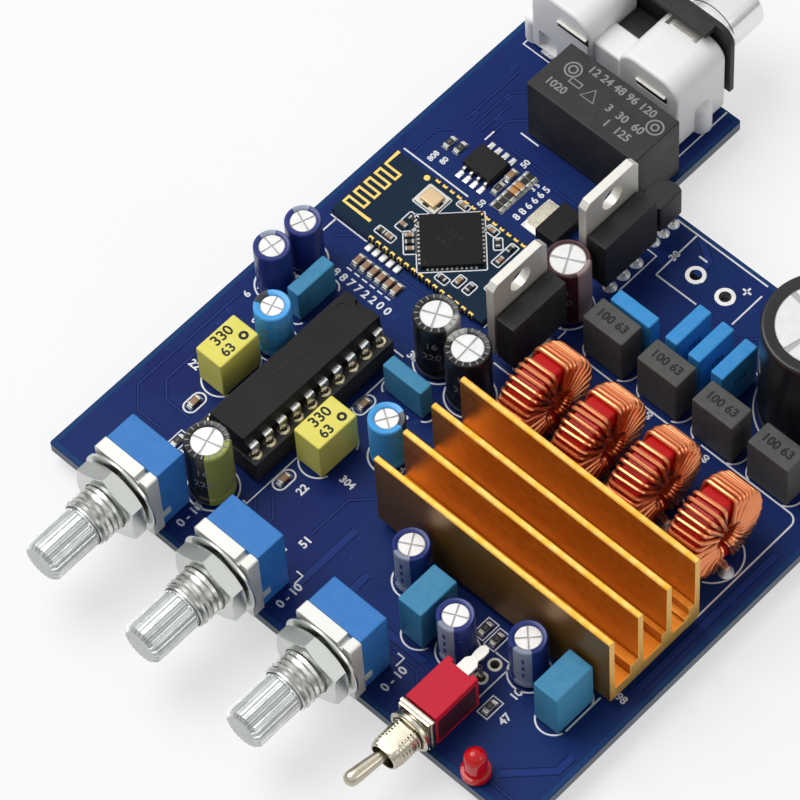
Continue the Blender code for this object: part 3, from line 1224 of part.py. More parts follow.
def solder_under_board():
    """Solder under the board: tall joints of the large parts and low joints of the small."""
    tails = []
    for x in control_places():
        tails += [(x + i * CONTROL_LEG_PITCH, CONTROL_LEG_Y) for i in (-1, 0, 1)]
    jack_y = input_front() + 1.6 * MM
    tails += [(x + dx, jack_y) for x in jack_places() for dx in (-3.0 * MM, 3.0 * MM)]
    relay_y = relay_front()
    for across in (0.1, 0.5, 0.9):
        for along in (0.2, 0.8):
            tails.append((relay_left() + RELAY_WIDTH * across, relay_y + RELAY_DEPTH * along))
    x, y = main_can_place()
    tails += [(x - MAIN_CAN_LEADS / 2, y), (x + MAIN_CAN_LEADS / 2, y)]
    for x in COIL_PLACES:
        tails += [(x, COIL_Y - COIL_LEADS / 2), (x, COIL_Y + COIL_LEADS / 2)]
    tails += [(SWITCH_X, SWITCH_BODY_FRONT + SWITCH_BODY_DEPTH * 0.3),
              (SWITCH_X, SWITCH_BODY_FRONT + SWITCH_BODY_DEPTH * 0.8)]
    bite = 0.2 * MM
    level = bite - BOARD_THICKNESS
    over = Matrix.Rotation(math.pi, 4, "X")
    tail = finished(cylinder(TAIL_RADIUS, TAIL_HEIGHT + bite, 5, TAIL_TIP_RADIUS), "solder")
    joints = [(x, y) for x in tone_rows() for y in tone_leg_places()]
    for rows in film_places().values():
        for x, y, width, depth, height in rows:
            dx, dy = (0.0, FILM_LEADS / 2) if depth > width else (FILM_LEADS / 2, 0.0)
            joints += [(x - dx, y - dy), (x + dx, y + dy)]
    for places in (NAVY_CANS, BLUE_CANS, OLIVE_CANS, BLACK_CANS, MAROON_CANS):
        for x, y in places:
            joints += [(x * MM - CAN_LEADS / 2, y * MM), (x * MM + CAN_LEADS / 2, y * MM)]
    for x, y in REGULATOR_PLACES:
        leg_x = x + REGULATOR_TAB_THICKNESS + SEAT_GAP + REGULATOR_CASE_THICKNESS / 2
        joints += [(leg_x, y + i * REGULATOR_LEAD_PITCH) for i in (-1, 0, 1)]
    joints += [(LAMP_X - 1.27 * MM, LAMP_Y), (LAMP_X + 1.27 * MM, LAMP_Y)]
    joint = finished(cylinder(JOINT_RADIUS, JOINT_HEIGHT + bite, 5, 0.0), "solder")
    return ([(tail, shift(x, y, level) @ over) for x, y in tails]
            + [(joint, shift(x, y, level) @ over) for x, y in joints])


def main():
    clear_scene()
    build = Builder()
    circuit_board(build)
    controls(build)
    power_switch(build)
    indicator_lamp(build)
    relay(build)
    line_input(build)
    regulators(build)
    transistor(build)
    wireless_module(build)
    tone_control_chip(build)
    electrolytic_capacitors(build)
    heatsink(build)
    output_coils(build)
    bpy.context.view_layer.update()


main()
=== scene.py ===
"""Looks of an audio amplifier board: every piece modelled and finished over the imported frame."""

import math

import bmesh
import bpy
from mathutils import Matrix, Vector


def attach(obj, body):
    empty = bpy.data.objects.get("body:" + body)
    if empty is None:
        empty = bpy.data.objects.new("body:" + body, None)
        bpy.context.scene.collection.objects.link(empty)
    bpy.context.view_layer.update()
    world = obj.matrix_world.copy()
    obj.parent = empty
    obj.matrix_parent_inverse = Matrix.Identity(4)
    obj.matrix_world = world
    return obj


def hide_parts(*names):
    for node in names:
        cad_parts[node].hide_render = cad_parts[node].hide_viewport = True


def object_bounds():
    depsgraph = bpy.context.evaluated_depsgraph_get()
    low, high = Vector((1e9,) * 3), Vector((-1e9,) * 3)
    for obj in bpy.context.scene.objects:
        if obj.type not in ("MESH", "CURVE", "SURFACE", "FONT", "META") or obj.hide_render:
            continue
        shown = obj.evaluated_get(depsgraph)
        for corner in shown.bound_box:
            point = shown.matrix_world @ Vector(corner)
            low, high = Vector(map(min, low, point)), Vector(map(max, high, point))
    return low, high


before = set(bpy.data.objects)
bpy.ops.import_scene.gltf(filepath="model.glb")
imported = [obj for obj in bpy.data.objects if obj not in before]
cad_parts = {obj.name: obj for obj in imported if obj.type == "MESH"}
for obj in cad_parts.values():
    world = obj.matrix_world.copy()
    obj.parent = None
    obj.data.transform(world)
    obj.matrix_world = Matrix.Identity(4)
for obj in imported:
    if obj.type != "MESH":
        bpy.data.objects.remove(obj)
CAD_LOW, CAD_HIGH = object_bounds()

MM = 0.001
# Board's front left top corner in the frame; places below are in millimetres from it
DATUM = Vector((-41.25, -40.2, 1.6)) * MM

BOARD_WIDTH = 82.5
BOARD_DEPTH = 80.4
BOARD_THICKNESS = 1.6
LEG_WIDTH = 32.8
LEG_BACK = 97.2

CONTROLS = {"left": 15.4, "middle": 33.05, "right": 50.7}
CONTROL_AXIS = 6.7
PLATE_FRONT = -0.8
SWITCH_X = 64.7
SWITCH_AXIS = 3.4
COILS = (45.4, 54.7, 64.1, 74.2)
COIL_Y = 44.6
COIL_AXIS = 7.4
# Where the two ends of each winding go through the board, from the coil's middle
COIL_LEADS = ((2.95, -0.7), (-2.95, 0.7))
JACKS = {"left": 9.4, "right": 23.4}
JACK_FRONT = 87.9
JACK_BACK = 97.7
MODULE = (2.3, 50.1, 29.3, 62.8)
RELAY = (13.0, 76.7, 32.2, 85.5)
RELAY_TOP = 11.7
MAIN_CAN_PLACE = (70.0, 70.0)
LAMP_PLACE = (73.4, 1.9)
LAMP_LEAD = 1.27
# Pitch of chip legs and regulator legs, and the two rows of the long chip's socket
PIN_PITCH = 2.54
SOCKET_ROWS = (15.44, 23.06)
SOCKET_FIRST = 14.95
SOCKET_PINS = 10

TO_FRONT = Matrix.Rotation(math.pi / 2, 4, "X")
TO_BACK = Matrix.Rotation(-math.pi / 2, 4, "X")
TO_RIGHT = Matrix(((0, 0, 1, 0), (1, 0, 0, 0), (0, 1, 0, 0), (0, 0, 0, 1)))


# Node trees

def node(tree, kind, sockets=None, **settings):
    """A new node; a socket value that is itself a socket is linked."""
    made = tree.nodes.new(kind)
    for key, value in settings.items():
        setattr(made, key, value)
    for key, value in (sockets or {}).items():
        if isinstance(value, bpy.types.NodeSocket):
            tree.links.new(value, made.inputs[key])
        else:
            made.inputs[key].default_value = value
    return made


def new_group(name, kind, inputs, outputs):
    """An empty node group with named sockets, and its input and output nodes."""
    tree = bpy.data.node_groups.new(name, kind)
    for label, socket, value in inputs:
        made = tree.interface.new_socket(label, in_out="INPUT", socket_type="NodeSocket" + socket)
        if value is not None:
            made.default_value = value
    for label, socket in outputs:
        tree.interface.new_socket(label, in_out="OUTPUT", socket_type="NodeSocket" + socket)
    return tree, tree.nodes.new("NodeGroupInput").outputs, tree.nodes.new("NodeGroupOutput").inputs


def math_node(tree, operation, a, b=0.0, c=0.0, clamp=False):
    made = node(tree, "ShaderNodeMath", {0: a, 1: b, 2: c}, operation=operation, use_clamp=clamp)
    return made.outputs[0]


def mixed(tree, share, a, b):
    """Colour a, turning into colour b with the share."""
    return node(tree, "ShaderNodeMix", {0: share, 6: a, 7: b}, data_type="RGBA").outputs[2]


def noise(tree, vector, scale, detail=3.0, rough=0.55):
    return node(tree, "ShaderNodeTexNoise", {"Vector": vector, "Scale": scale, "Detail": detail,
                                             "Roughness": rough}).outputs[0]


def span(tree, value, low, high, start=0.0):
    """Rises from the start to one while the value goes from low to high."""
    return node(tree, "ShaderNodeMapRange", {0: value, 1: low, 2: high, 3: start}).outputs[0]


def scaled(tree, colour, by):
    return node(tree, "ShaderNodeVectorMath", {0: colour, "Scale": by}, operation="SCALE").outputs[0]


def grain_group():
    """Fine grain and slow tone change of a moulded, cast or plated surface."""
    tree, given, put = new_group(
        "surface_grain", "ShaderNodeTree",
        [("Vector", "Vector", None), ("Color", "Color", None), ("Scale", "Float", 900.0),
         ("Tone", "Float", 0.05), ("Roughness", "Float", 0.4), ("Spread", "Float", 0.1)],
        [("Color", "Color"), ("Roughness", "Float"), ("Height", "Float")])
    fine = noise(tree, given["Vector"], given["Scale"], 4.0)
    slow = noise(tree, given["Vector"], math_node(tree, "MULTIPLY", given["Scale"], 0.09), 2.0)
    both = math_node(tree, "MULTIPLY_ADD", slow, 1.6, math_node(tree, "MULTIPLY", fine, 0.8))
    swing = math_node(tree, "SUBTRACT", both, 1.2)
    tone = math_node(tree, "MULTIPLY_ADD", swing, given["Tone"], 1.0)
    tree.links.new(scaled(tree, given["Color"], tone), put["Color"])
    tree.links.new(math_node(tree, "MULTIPLY_ADD", swing, given["Spread"], given["Roughness"],
                             True), put["Roughness"])
    tree.links.new(fine, put["Height"])
    return tree


def wear_and_glint_group():
    """Rubbed edges and painted highlights: the edge colour shows along convex edges, broken up by
    noise; on the dark turned bush and shaft it is a painted highlight on the crests.
    """
    tree, given, put = new_group(
        "edge_wear_and_glint", "ShaderNodeTree",
        [("Vector", "Vector", None), ("Color", "Color", None), ("Worn", "Color", None),
         ("Amount", "Float", 0.5), ("Scale", "Float", 700.0)],
        [("Color", "Color")])
    sharp = node(tree, "ShaderNodeNewGeometry").outputs["Pointiness"]
    edge = span(tree, sharp, 0.51, 0.60)
    broken = span(tree, noise(tree, given["Vector"], given["Scale"]), 0.35, 0.65)
    mask = math_node(tree, "MULTIPLY", math_node(tree, "MULTIPLY", edge, broken), given["Amount"],
                     clamp=True)
    tree.links.new(mixed(tree, mask, given["Color"], given["Worn"]), put["Color"])
    return tree


def dust_group():
    """Pale dust and flux haze settled on faces that look up."""
    tree, given, put = new_group(
        "settled_dust", "ShaderNodeTree",
        [("Vector", "Vector", None), ("Color", "Color", None), ("Amount", "Float", 0.05)],
        [("Color", "Color")])
    normal = node(tree, "ShaderNodeNewGeometry").outputs["Normal"]
    up = node(tree, "ShaderNodeSeparateXYZ", {0: normal}).outputs[2]
    patches = span(tree, noise(tree, given["Vector"], 160.0, 5.0, 0.7), 0.4, 0.8)
    mask = math_node(tree, "MULTIPLY", math_node(tree, "MULTIPLY", up, patches, clamp=True),
                     given["Amount"], clamp=True)
    pale_dust = (0.55, 0.53, 0.50, 1.0)
    tree.links.new(mixed(tree, mask, given["Color"], pale_dust), put["Color"])
    return tree


def drawn_group():
    """Long fine lines left by a die, a brush or a lathe, along one axis of the piece."""
    tree, given, put = new_group(
        "drawn_lines", "ShaderNodeTree",
        [("Vector", "Vector", None), ("Direction", "Vector", (1.0, 0.03, 1.0)),
         ("Scale", "Float", 2500.0), ("Color", "Color", None), ("Amount", "Float", 0.2)],
        [("Color", "Color"), ("Height", "Float")])
    stretched = node(tree, "ShaderNodeVectorMath", {0: given["Vector"], 1: given["Direction"]},
                     operation="MULTIPLY").outputs[0]
    lines = noise(tree, stretched, given["Scale"], 2.0, 0.4)
    shade = math_node(tree, "MULTIPLY_ADD", math_node(tree, "SUBTRACT", lines, 0.5),
                      given["Amount"], 1.0)
    tree.links.new(scaled(tree, given["Color"], shade), put["Color"])
    tree.links.new(lines, put["Height"])
    return tree


GRAIN = grain_group()
WEAR_AND_GLINT = wear_and_glint_group()
DUST = dust_group()
DRAWN = drawn_group()
# Depth in metres that a bump of full strength stands for
BUMP_DEPTH = 0.00008


def finish(name, colour, roughness, metallic=0.0, scale=900.0, tone=0.06, spread=0.08, bump=0.15,
           wear_and_glint=0.0, edge_colour=(0.6, 0.6, 0.6), dust=0.0, drawn=0.0, along=(1.0, 0.03, 1.0),
           drawn_scale=2500.0, shine=0.5, **sockets):
    """A finish built from the shared effects, each with its own strength."""
    made = bpy.data.materials.new(name)
    made.use_nodes = True
    tree = made.node_tree
    shader = tree.nodes["Principled BSDF"]
    place = node(tree, "ShaderNodeTexCoord").outputs["Object"]

    def effect(group, **values):
        return node(tree, "ShaderNodeGroup", {"Vector": place, **values}, node_tree=group).outputs

    grain = effect(GRAIN, Color=(*colour, 1.0), Scale=scale, Tone=tone, Roughness=roughness,
                   Spread=spread)
    shade, height = grain["Color"], grain["Height"]
    if drawn:
        lines = effect(DRAWN, Color=shade, Direction=along, Scale=drawn_scale, Amount=drawn)
        shade, height = lines["Color"], lines["Height"]
    if wear_and_glint:
        shade = effect(WEAR_AND_GLINT, Color=shade, Worn=(*edge_colour, 1.0), Amount=wear_and_glint)["Color"]
    if dust:
        shade = effect(DUST, Color=shade, Amount=dust)["Color"]
    tree.links.new(shade, shader.inputs["Base Color"])
    tree.links.new(grain["Roughness"], shader.inputs["Roughness"])
    shader.inputs["Metallic"].default_value = metallic
    shader.inputs["Specular IOR Level"].default_value = shine
    relief = node(tree, "ShaderNodeBump", {"Height": height, "Strength": bump,
                                           "Distance": BUMP_DEPTH})
    tree.links.new(relief.outputs[0], shader.inputs["Normal"])
    for key, value in sockets.items():
        shader.inputs[key.replace("_", " ").title().replace("Ior", "IOR")].default_value = value
    return made


def solder_mask():
    """Blue solder mask: two close blues drift over it, a little lighter above buried copper."""
    made = finish("board_blue_mask", (0.0085, 0.0190, 0.122), 0.36, tone=0.10, scale=600.0,
                  bump=0.05, dust=0.004, shine=0.07)
    tree = made.node_tree
    shader = tree.nodes["Principled BSDF"]
    before = shader.inputs["Base Color"].links[0].from_socket
    place = node(tree, "ShaderNodeTexCoord").outputs["Object"]
    drift = math_node(tree, "MULTIPLY", span(tree, noise(tree, place, 38.0, 2.0), 0.42, 0.62), 0.7)
    teal = mixed(tree, drift, before, (0.0100, 0.0330, 0.132, 1.0))
    wobble = math_node(tree, "MULTIPLY", noise(tree, place, 90.0, 1.0), 0.12)
    pour = node(tree, "ShaderNodeTexVoronoi", {"Vector": place, "Scale": 62.0,
                                               "Randomness": 0.8}, distance="MANHATTAN")
    area = span(tree, math_node(tree, "ADD", pour.outputs["Distance"], wobble), 0.40, 0.44)
    lighter = mixed(tree, math_node(tree, "MULTIPLY", area, 0.30), teal,
                    (0.0140, 0.0360, 0.165, 1.0))
    tree.links.new(lighter, shader.inputs["Base Color"])
    return made


MASK = solder_mask()
TRACE = finish("board_blue_over_copper", (0.0135, 0.0370, 0.185), 0.34, tone=0.06, bump=0.05,
               shine=0.08)
TRACE_EDGE = finish("board_blue_beside_copper", (0.0030, 0.0085, 0.062), 0.36, tone=0.06, bump=0.05,
                    shine=0.07)
MARGIN = finish("board_blue_bare_margin", (0.0100, 0.0500, 0.160), 0.38, tone=0.10, bump=0.05,
                shine=0.08)
LAMINATE = finish("board_edge_laminate", (0.110, 0.135, 0.165), 0.60, tone=0.25, drawn=0.8,
                  along=(0.05, 0.05, 1.0), drawn_scale=4500.0)
SILK = finish("silk_white", (0.80, 0.81, 0.84), 0.55, tone=0.05, scale=3000.0)
TIN = finish("tinned_solder", (0.72, 0.72, 0.70), 0.24, 0.9, tone=0.12, scale=1400.0, bump=0.35,
             spread=0.2)
BEAD = finish("solder_bead", (0.76, 0.76, 0.74), 0.32, 0.55, tone=0.12, scale=1400.0, bump=0.35,
              spread=0.2)
DULL_TIN = finish("dull_tin", (0.40, 0.40, 0.36), 0.42, 0.6, tone=0.20, scale=1800.0, bump=0.3)
PAD_GOLD = finish("gold_flash", (0.90, 0.60, 0.15), 0.36, 0.35, tone=0.08, scale=1500.0)
CONTROL_BLUE = finish("control_blue_resin", (0.030, 0.190, 0.545), 0.42, tone=0.05, scale=1500.0,
                      bump=0.10, wear_and_glint=0.15, edge_colour=(0.12, 0.30, 0.66), shine=0.25)
ZINC = finish("cast_zinc", (0.70, 0.70, 0.655), 0.40, 0.25, tone=0.05, scale=1200.0, bump=0.12,
              dust=0.03)
# Dark base with a pale colour on convex edges: painted shade in the thread grooves and painted
# highlights on the thread crests.
BUSH = finish("turned_bush", (0.34, 0.35, 0.33), 0.30, 1.0, tone=0.10, scale=1200.0, bump=0.20,
              wear_and_glint=0.9, edge_colour=(0.88, 0.89, 0.86))
# Dark base with a pale colour on convex edges: painted shade between the splines and painted
# highlights on their crests.
SHAFT = finish("machined_shaft", (0.46, 0.475, 0.475), 0.36, 1.0, tone=0.10, bump=0.30, drawn=0.35,
               along=(1.0, 0.04, 1.0), wear_and_glint=0.8, edge_colour=(0.86, 0.87, 0.87))
STEEL = finish("plated_steel", (0.60, 0.62, 0.59), 0.26, 1.0, tone=0.08, bump=0.06)
NICKEL = finish("nickel_plate", (0.46, 0.42, 0.33), 0.26, 1.0, tone=0.08, bump=0.10, wear_and_glint=0.5,
                edge_colour=(0.88, 0.84, 0.72))
TAB_METAL = finish("satin_tab", (0.70, 0.68, 0.62), 0.42, 0.45, tone=0.06, scale=700.0, bump=0.06,
                   drawn=0.10, along=(1.0, 1.0, 0.05))
CHROME = finish("bright_sleeve", (0.80, 0.80, 0.79), 0.16, 1.0, tone=0.06, bump=0.1)
BRASS = finish("brass_contact", (0.70, 0.60, 0.38), 0.28, 1.0, tone=0.10, bump=0.2, wear_and_glint=0.3,
               edge_colour=(0.92, 0.86, 0.68))
SWITCH_RED = finish("switch_red_nylon", (0.600, 0.010, 0.034), 0.42, tone=0.06, bump=0.10,
                    shine=0.2)
# Very dark red: painted shade on the switch case's sides and back, and the lamp's own dark cup.
SWITCH_SHADE_AND_CUP = finish("switch_side_shade_and_lamp_cup", (0.050, 0.010, 0.018), 0.50, tone=0.08, shine=0.2)
LAMP = finish("lamp_red_resin", (0.640, 0.0015, 0.004), 0.10, tone=0.03, bump=0.03, spread=0.02,
              transmission_weight=0.08, ior=1.5, shine=0.35)
BLACK = finish("black_moulding", (0.016, 0.016, 0.017), 0.48, tone=0.12, scale=2200.0, bump=0.30,
               dust=0.02, wear_and_glint=0.2, edge_colour=(0.06, 0.06, 0.065), shine=0.28)
CHIP_BLACK = finish("chip_moulding", (0.0150, 0.0145, 0.0145), 0.52, tone=0.12, scale=3200.0,
                    bump=0.35, dust=0.01, shine=0.12)
CASE_WHITE = finish("white_moulding", (0.90, 0.90, 0.89), 0.38, tone=0.02, scale=700.0, bump=0.10,
                    shine=0.35)
PRINT_GREY = finish("pad_print_grey", (0.24, 0.24, 0.24), 0.5, tone=0.05, scale=2500.0)
PRINT_DARK = finish("pad_print_dark", (0.018, 0.018, 0.020), 0.5, tone=0.05, scale=2500.0,
                    shine=0.2)
PRINT_FAINT = finish("laser_mark_faint", (0.024, 0.023, 0.021), 0.6, tone=0.05, scale=2500.0,
                     shine=0.15)
TAN = finish("ceramic_tan", (0.360, 0.215, 0.120), 0.50, tone=0.12, scale=2500.0, shine=0.3)
RESISTOR = finish("resistor_glaze", (0.014, 0.013, 0.012), 0.36, tone=0.08, scale=2500.0, shine=0.3)
ALUMINA = finish("alumina_white", (0.50, 0.49, 0.44), 0.55, tone=0.06, scale=2500.0)
ORANGE_CHIP = finish("chip_orange", (0.55, 0.24, 0.06), 0.45, tone=0.08)
CARD_GREEN = finish("module_teal_mask", (0.0085, 0.0240, 0.0480), 0.36, tone=0.12, scale=900.0,
                    bump=0.08, shine=0.07)
CHIP_GREY = finish("chip_ground_top", (0.014, 0.014, 0.014), 0.44, tone=0.10, scale=3000.0,
                   bump=0.15, shine=0.08)
LID = finish("crystal_lid", (0.62, 0.45, 0.25), 0.34, 0.40, tone=0.10, scale=700.0, bump=0.1)
LID_RIM = finish("crystal_rim", (0.60, 0.59, 0.52), 0.36, 0.40, tone=0.10)
ALUMINIUM = finish("pressed_aluminium", (0.66, 0.65, 0.64), 0.42, 0.45, tone=0.10, scale=500.0,
                   bump=0.25, drawn=0.10, along=(1.0, 0.1, 1.0), wear_and_glint=0.3, edge_colour=(0.85, 0.85, 0.84))
SCORE = finish("scored_groove", (0.40, 0.40, 0.39), 0.50, 0.30, tone=0.12)
# Sleeve colour, gloss and tone, then band name, colour and tone
CAN_TONES = {
    "navy": ((0.018, 0.034, 0.200), 0.28, 0.06, "silver", (0.30, 0.34, 0.44), 0.05),
    "light_blue": ((0.070, 0.400, 0.860), 0.28, 0.05, "black", (0.020, 0.028, 0.040), 0.05),
    "olive": ((0.014, 0.014, 0.010), 0.28, 0.08, "lime", (0.30, 0.33, 0.06), 0.06),
    "black": ((0.010, 0.010, 0.011), 0.30, 0.08, "grey", (0.42, 0.41, 0.39), 0.05),
    "maroon": ((0.050, 0.010, 0.014), 0.28, 0.08, "rose_grey", (0.30, 0.215, 0.215), 0.06),
}
SLEEVES = {}
BANDS = {}
for label, (sleeve, gloss, tone, band, band_colour, band_tone) in CAN_TONES.items():
    SLEEVES[label] = finish(label + "_sleeve_film", sleeve, gloss, tone=tone, bump=0.06,
                            shine=0.40)
    BANDS[label] = finish("band_" + band, band_colour, 0.35, tone=band_tone)
YELLOW_BOX = finish("yellow_box_resin", (0.83, 0.75, 0.130), 0.44, tone=0.05, scale=800.0,
                    bump=0.12, wear_and_glint=0.2, edge_colour=(0.95, 0.90, 0.40), shine=0.2)
TEAL_BOX = finish("teal_box_resin", (0.050, 0.250, 0.440), 0.44, tone=0.06, scale=800.0, bump=0.12,
                  wear_and_glint=0.15, edge_colour=(0.16, 0.42, 0.58), shine=0.22)
SKY_BOX = finish("light_blue_box_resin", (0.040, 0.290, 0.680), 0.44, tone=0.06, scale=800.0,
                 bump=0.12, wear_and_glint=0.15, edge_colour=(0.18, 0.46, 0.78), shine=0.22)
GREY_BOX = finish("grey_box_resin", (0.078, 0.078, 0.074), 0.50, tone=0.12, scale=1600.0, bump=0.25,
                  wear_and_glint=0.2, edge_colour=(0.17, 0.17, 0.165), shine=0.22)
GOLD = finish("gold_anodised_side", (0.54, 0.180, 0.008), 0.36, 0.65, tone=0.08, bump=0.15,
              drawn=0.22, along=(0.02, 1.0, 1.0), drawn_scale=3000.0, wear_and_glint=0.3,
              edge_colour=(1.00, 0.56, 0.12))
# Darker copy of the gold for the heatsink's front face: painted shade.
GOLD_SHADE = finish("gold_anodised_painted_shade_front", (0.235, 0.110, 0.018), 0.40, 0.60, tone=0.10, bump=0.15,
                    drawn=0.25, along=(0.02, 1.0, 1.0), drawn_scale=3000.0)
# Lighter, yellower copy of the gold for the fin tops, with paler edge lines: painted light and
# painted highlights.
GOLD_PAINTED_LIT_TOP = finish("gold_anodised_painted_lit_top", (0.92, 0.44, 0.030), 0.32, 0.50, tone=0.05, bump=0.1,
                  drawn=0.10, along=(0.02, 1.0, 1.0), wear_and_glint=0.5, edge_colour=(1.00, 0.74, 0.26))
GOLD_SAWN = finish("gold_sawn_end", (0.80, 0.46, 0.10), 0.38, 0.70, tone=0.10, bump=0.35,
                   drawn=0.30, along=(1.0, 1.0, 0.05))
CORE_RED = finish("core_red_paint", (0.520, 0.009, 0.009), 0.34, tone=0.06, bump=0.10, shine=0.22)
COPPER = finish("enamelled_copper", (0.740, 0.255, 0.110), 0.28, 0.90, tone=0.10, scale=1400.0,
                bump=0.05, coat_weight=0.1, coat_roughness=0.1)


# Mesh shapes, in millimetres

def soften(bm, width, segments=2, angle=35.0):
    """Rounds every edge sharper than the angle."""
    edges = [edge for edge in bm.edges if len(edge.link_faces) == 2
             and edge.calc_face_angle(0.0) > math.radians(angle)]
    bmesh.ops.bevel(bm, geom=edges, offset=width, segments=segments, profile=0.5,
                    affect="EDGES", clamp_overlap=True)
    return bm


def box(low, high, edge=0.0, segments=2):
    """A box between two corners, its edges rounded where a width is given."""
    bm = bmesh.new()
    bmesh.ops.create_cube(bm, size=1.0)
    for vert in bm.verts:
        vert.co = Vector([high[i] if vert.co[i] > 0 else low[i] for i in range(3)])
    return soften(bm, edge, segments) if edge else bm


def slab(centre, size, edge=0.0, segments=2):
    """A box from its middle in plan, its foot level, and its size."""
    x, y, z = centre
    w, d, h = size
    return box((x - w / 2, y - d / 2, z), (x + w / 2, y + d / 2, z + h), edge, segments)


def lathe(profile, sides=32, ring=False):
    """A closed body turned about Z from (radius, height) pairs running down its outside."""
    bm = bmesh.new()
    loops = []
    for radius, z in profile:
        if radius < 1e-6:
            loops.append([bm.verts.new((0.0, 0.0, z))])
        else:
            loops.append([bm.verts.new((radius * math.cos(2 * math.pi * i / sides),
                                        radius * math.sin(2 * math.pi * i / sides), z))
                          for i in range(sides)])
    pairs = list(zip(loops, loops[1:])) + ([(loops[-1], loops[0])] if ring else [])
    for upper, lower in pairs:
        for i in range(sides):
            j = (i + 1) % sides
            corners = [upper[i % len(upper)], upper[j % len(upper)],
                       lower[j % len(lower)], lower[i % len(lower)]]
            bm.faces.new(list(dict.fromkeys(corners)))
    bmesh.ops.recalc_face_normals(bm, faces=bm.faces)
    return bm


def plate(points, thickness, edge=0.0, segments=2):
    """A flat outline raised from the XY plane."""
    bm = bmesh.new()
    lower = [bm.verts.new((x, y, 0.0)) for x, y in points]
    upper = [bm.verts.new((x, y, thickness)) for x, y in points]
    bm.faces.new(list(reversed(lower)))
    bm.faces.new(upper)
    for i, vert in enumerate(lower):
        j = (i + 1) % len(lower)
        bm.faces.new((vert, lower[j], upper[j], upper[i]))
    bmesh.ops.recalc_face_normals(bm, faces=bm.faces)
    return soften(bm, edge, segments) if edge else bm


def lofted(rings):
    """A closed body through rings of equally many points."""
    bm = bmesh.new()
    loops = [[bm.verts.new(point) for point in ring] for ring in rings]
    bm.faces.new(list(reversed(loops[0])))
    bm.faces.new(loops[-1])
    for low, high in zip(loops, loops[1:]):
        for i, corner in enumerate(low):
            j = (i + 1) % len(low)
            bm.faces.new((corner, low[j], high[j], high[i]))
    bmesh.ops.recalc_face_normals(bm, faces=bm.faces)
    return bm


def post(radius, high, low, sides):
    """A plain round bar on the Z axis."""
    return lathe([(0.0, high), (radius, high), (radius, low), (0.0, low)], sides)


def spot(inner, outer, height, sides=16):
    """A low round mark with a sloped rim."""
    return lathe([(0.0, height), (inner, height), (outer, 0.0), (0.0, 0.0)], sides)


def moved(bm, matrix):
    bmesh.ops.transform(bm, matrix=matrix, verts=bm.verts)
    return bm


def arc(centre, radius, start, end, steps=8):
    """Points along an arc between two angles in degrees."""
    angles = [math.radians(start + (end - start) * i / steps) for i in range(steps + 1)]
    return [(centre[0] + radius * math.cos(a), centre[1] + radius * math.sin(a)) for a in angles]


def rounded(x0, y0, x1, y1, radius, steps=5):
    """Outline of a rectangle with round corners."""
    r = radius
    return (arc((x1 - r, y1 - r), r, 0, 90, steps) + arc((x0 + r, y1 - r), r, 90, 180, steps)
            + arc((x0 + r, y0 + r), r, 180, 270, steps) + arc((x1 - r, y0 + r), r, 270, 360, steps))


def shift(x=0.0, y=0.0, z=0.0):
    return Matrix.Translation((x, y, z))


def spin(degrees, axis="Z"):
    return Matrix.Rotation(math.radians(degrees), 4, axis)


def plain(obj):
    """The object's evaluated mesh; the object is removed."""
    bpy.context.view_layer.update()
    shown = obj.evaluated_get(bpy.context.evaluated_depsgraph_get())
    mesh = bpy.data.meshes.new_from_object(shown)
    bpy.data.objects.remove(obj)
    return mesh


def linked(name, data):
    obj = bpy.data.objects.new(name, data)
    bpy.context.scene.collection.objects.link(obj)
    return obj


def mesh_of(bm, name="part"):
    mesh = bpy.data.meshes.new(name)
    bm.to_mesh(mesh)
    bm.free()
    return mesh


def welded(mesh):
    """The mesh's shape with its doubles merged; the mesh is removed."""
    bm = bmesh.new()
    bm.from_mesh(mesh)
    bmesh.ops.remove_doubles(bm, verts=bm.verts, dist=1e-4)
    bpy.data.meshes.remove(mesh)
    return bm


def carved(bm, cutters):
    """The body with the cutters taken out of it."""
    body = linked("body", mesh_of(bm))
    helpers = []
    for cutter in cutters:
        helper = linked("cutter", mesh_of(cutter))
        helpers.append(helper)
        boolean = body.modifiers.new("cut", "BOOLEAN")
        boolean.solver = "EXACT"
        boolean.object = helper
    mesh = plain(body)
    for helper in helpers:
        bpy.data.objects.remove(helper)
    return welded(mesh)


class Work:
    """The closed bodies of one piece, each in its own finish, in board millimetres."""

    def __init__(self):
        self.mesh = bmesh.new()
        self.finishes = []

    def slot_of(self, finish):
        if finish not in self.finishes:
            self.finishes.append(finish)
        return self.finishes.index(finish)

    def take(self, mesh, finishes, matrix=None):
        """Adds a mesh; its face slots follow the order of the finishes given."""
        if matrix is not None:
            mesh.transform(matrix)
        slots = [self.slot_of(finish) for finish in finishes]
        known = len(self.mesh.faces)
        self.mesh.from_mesh(mesh)
        self.mesh.faces.ensure_lookup_table()
        for face in self.mesh.faces[known:]:
            face.material_index = slots[min(face.material_index, len(slots) - 1)]
        bpy.data.meshes.remove(mesh)
        return self

    def put(self, bm, *finishes, matrix=None):
        return self.take(mesh_of(bm), finishes, matrix)

    def settle(self, name, slot, *replaced, body="board", angle=38.0):
        """Makes the piece in the frame, riding on its body, in place of the CAD nodes named."""
        mesh = mesh_of(self.mesh, name)
        for finish in self.finishes:
            mesh.materials.append(finish)
        mesh.transform(Matrix.Translation(DATUM) @ Matrix.Scale(MM, 4))
        mesh.shade_smooth()
        mesh.set_sharp_from_angle(angle=math.radians(angle))
        rough = linked("rough", mesh)
        rough.modifiers.new("even_shading", "WEIGHTED_NORMAL").keep_sharp = True
        even = plain(rough)
        bpy.data.meshes.remove(mesh)
        even.name = name
        piece = linked(name, even)
        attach(piece, body)
        if replaced:
            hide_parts(*replaced)
        return piece


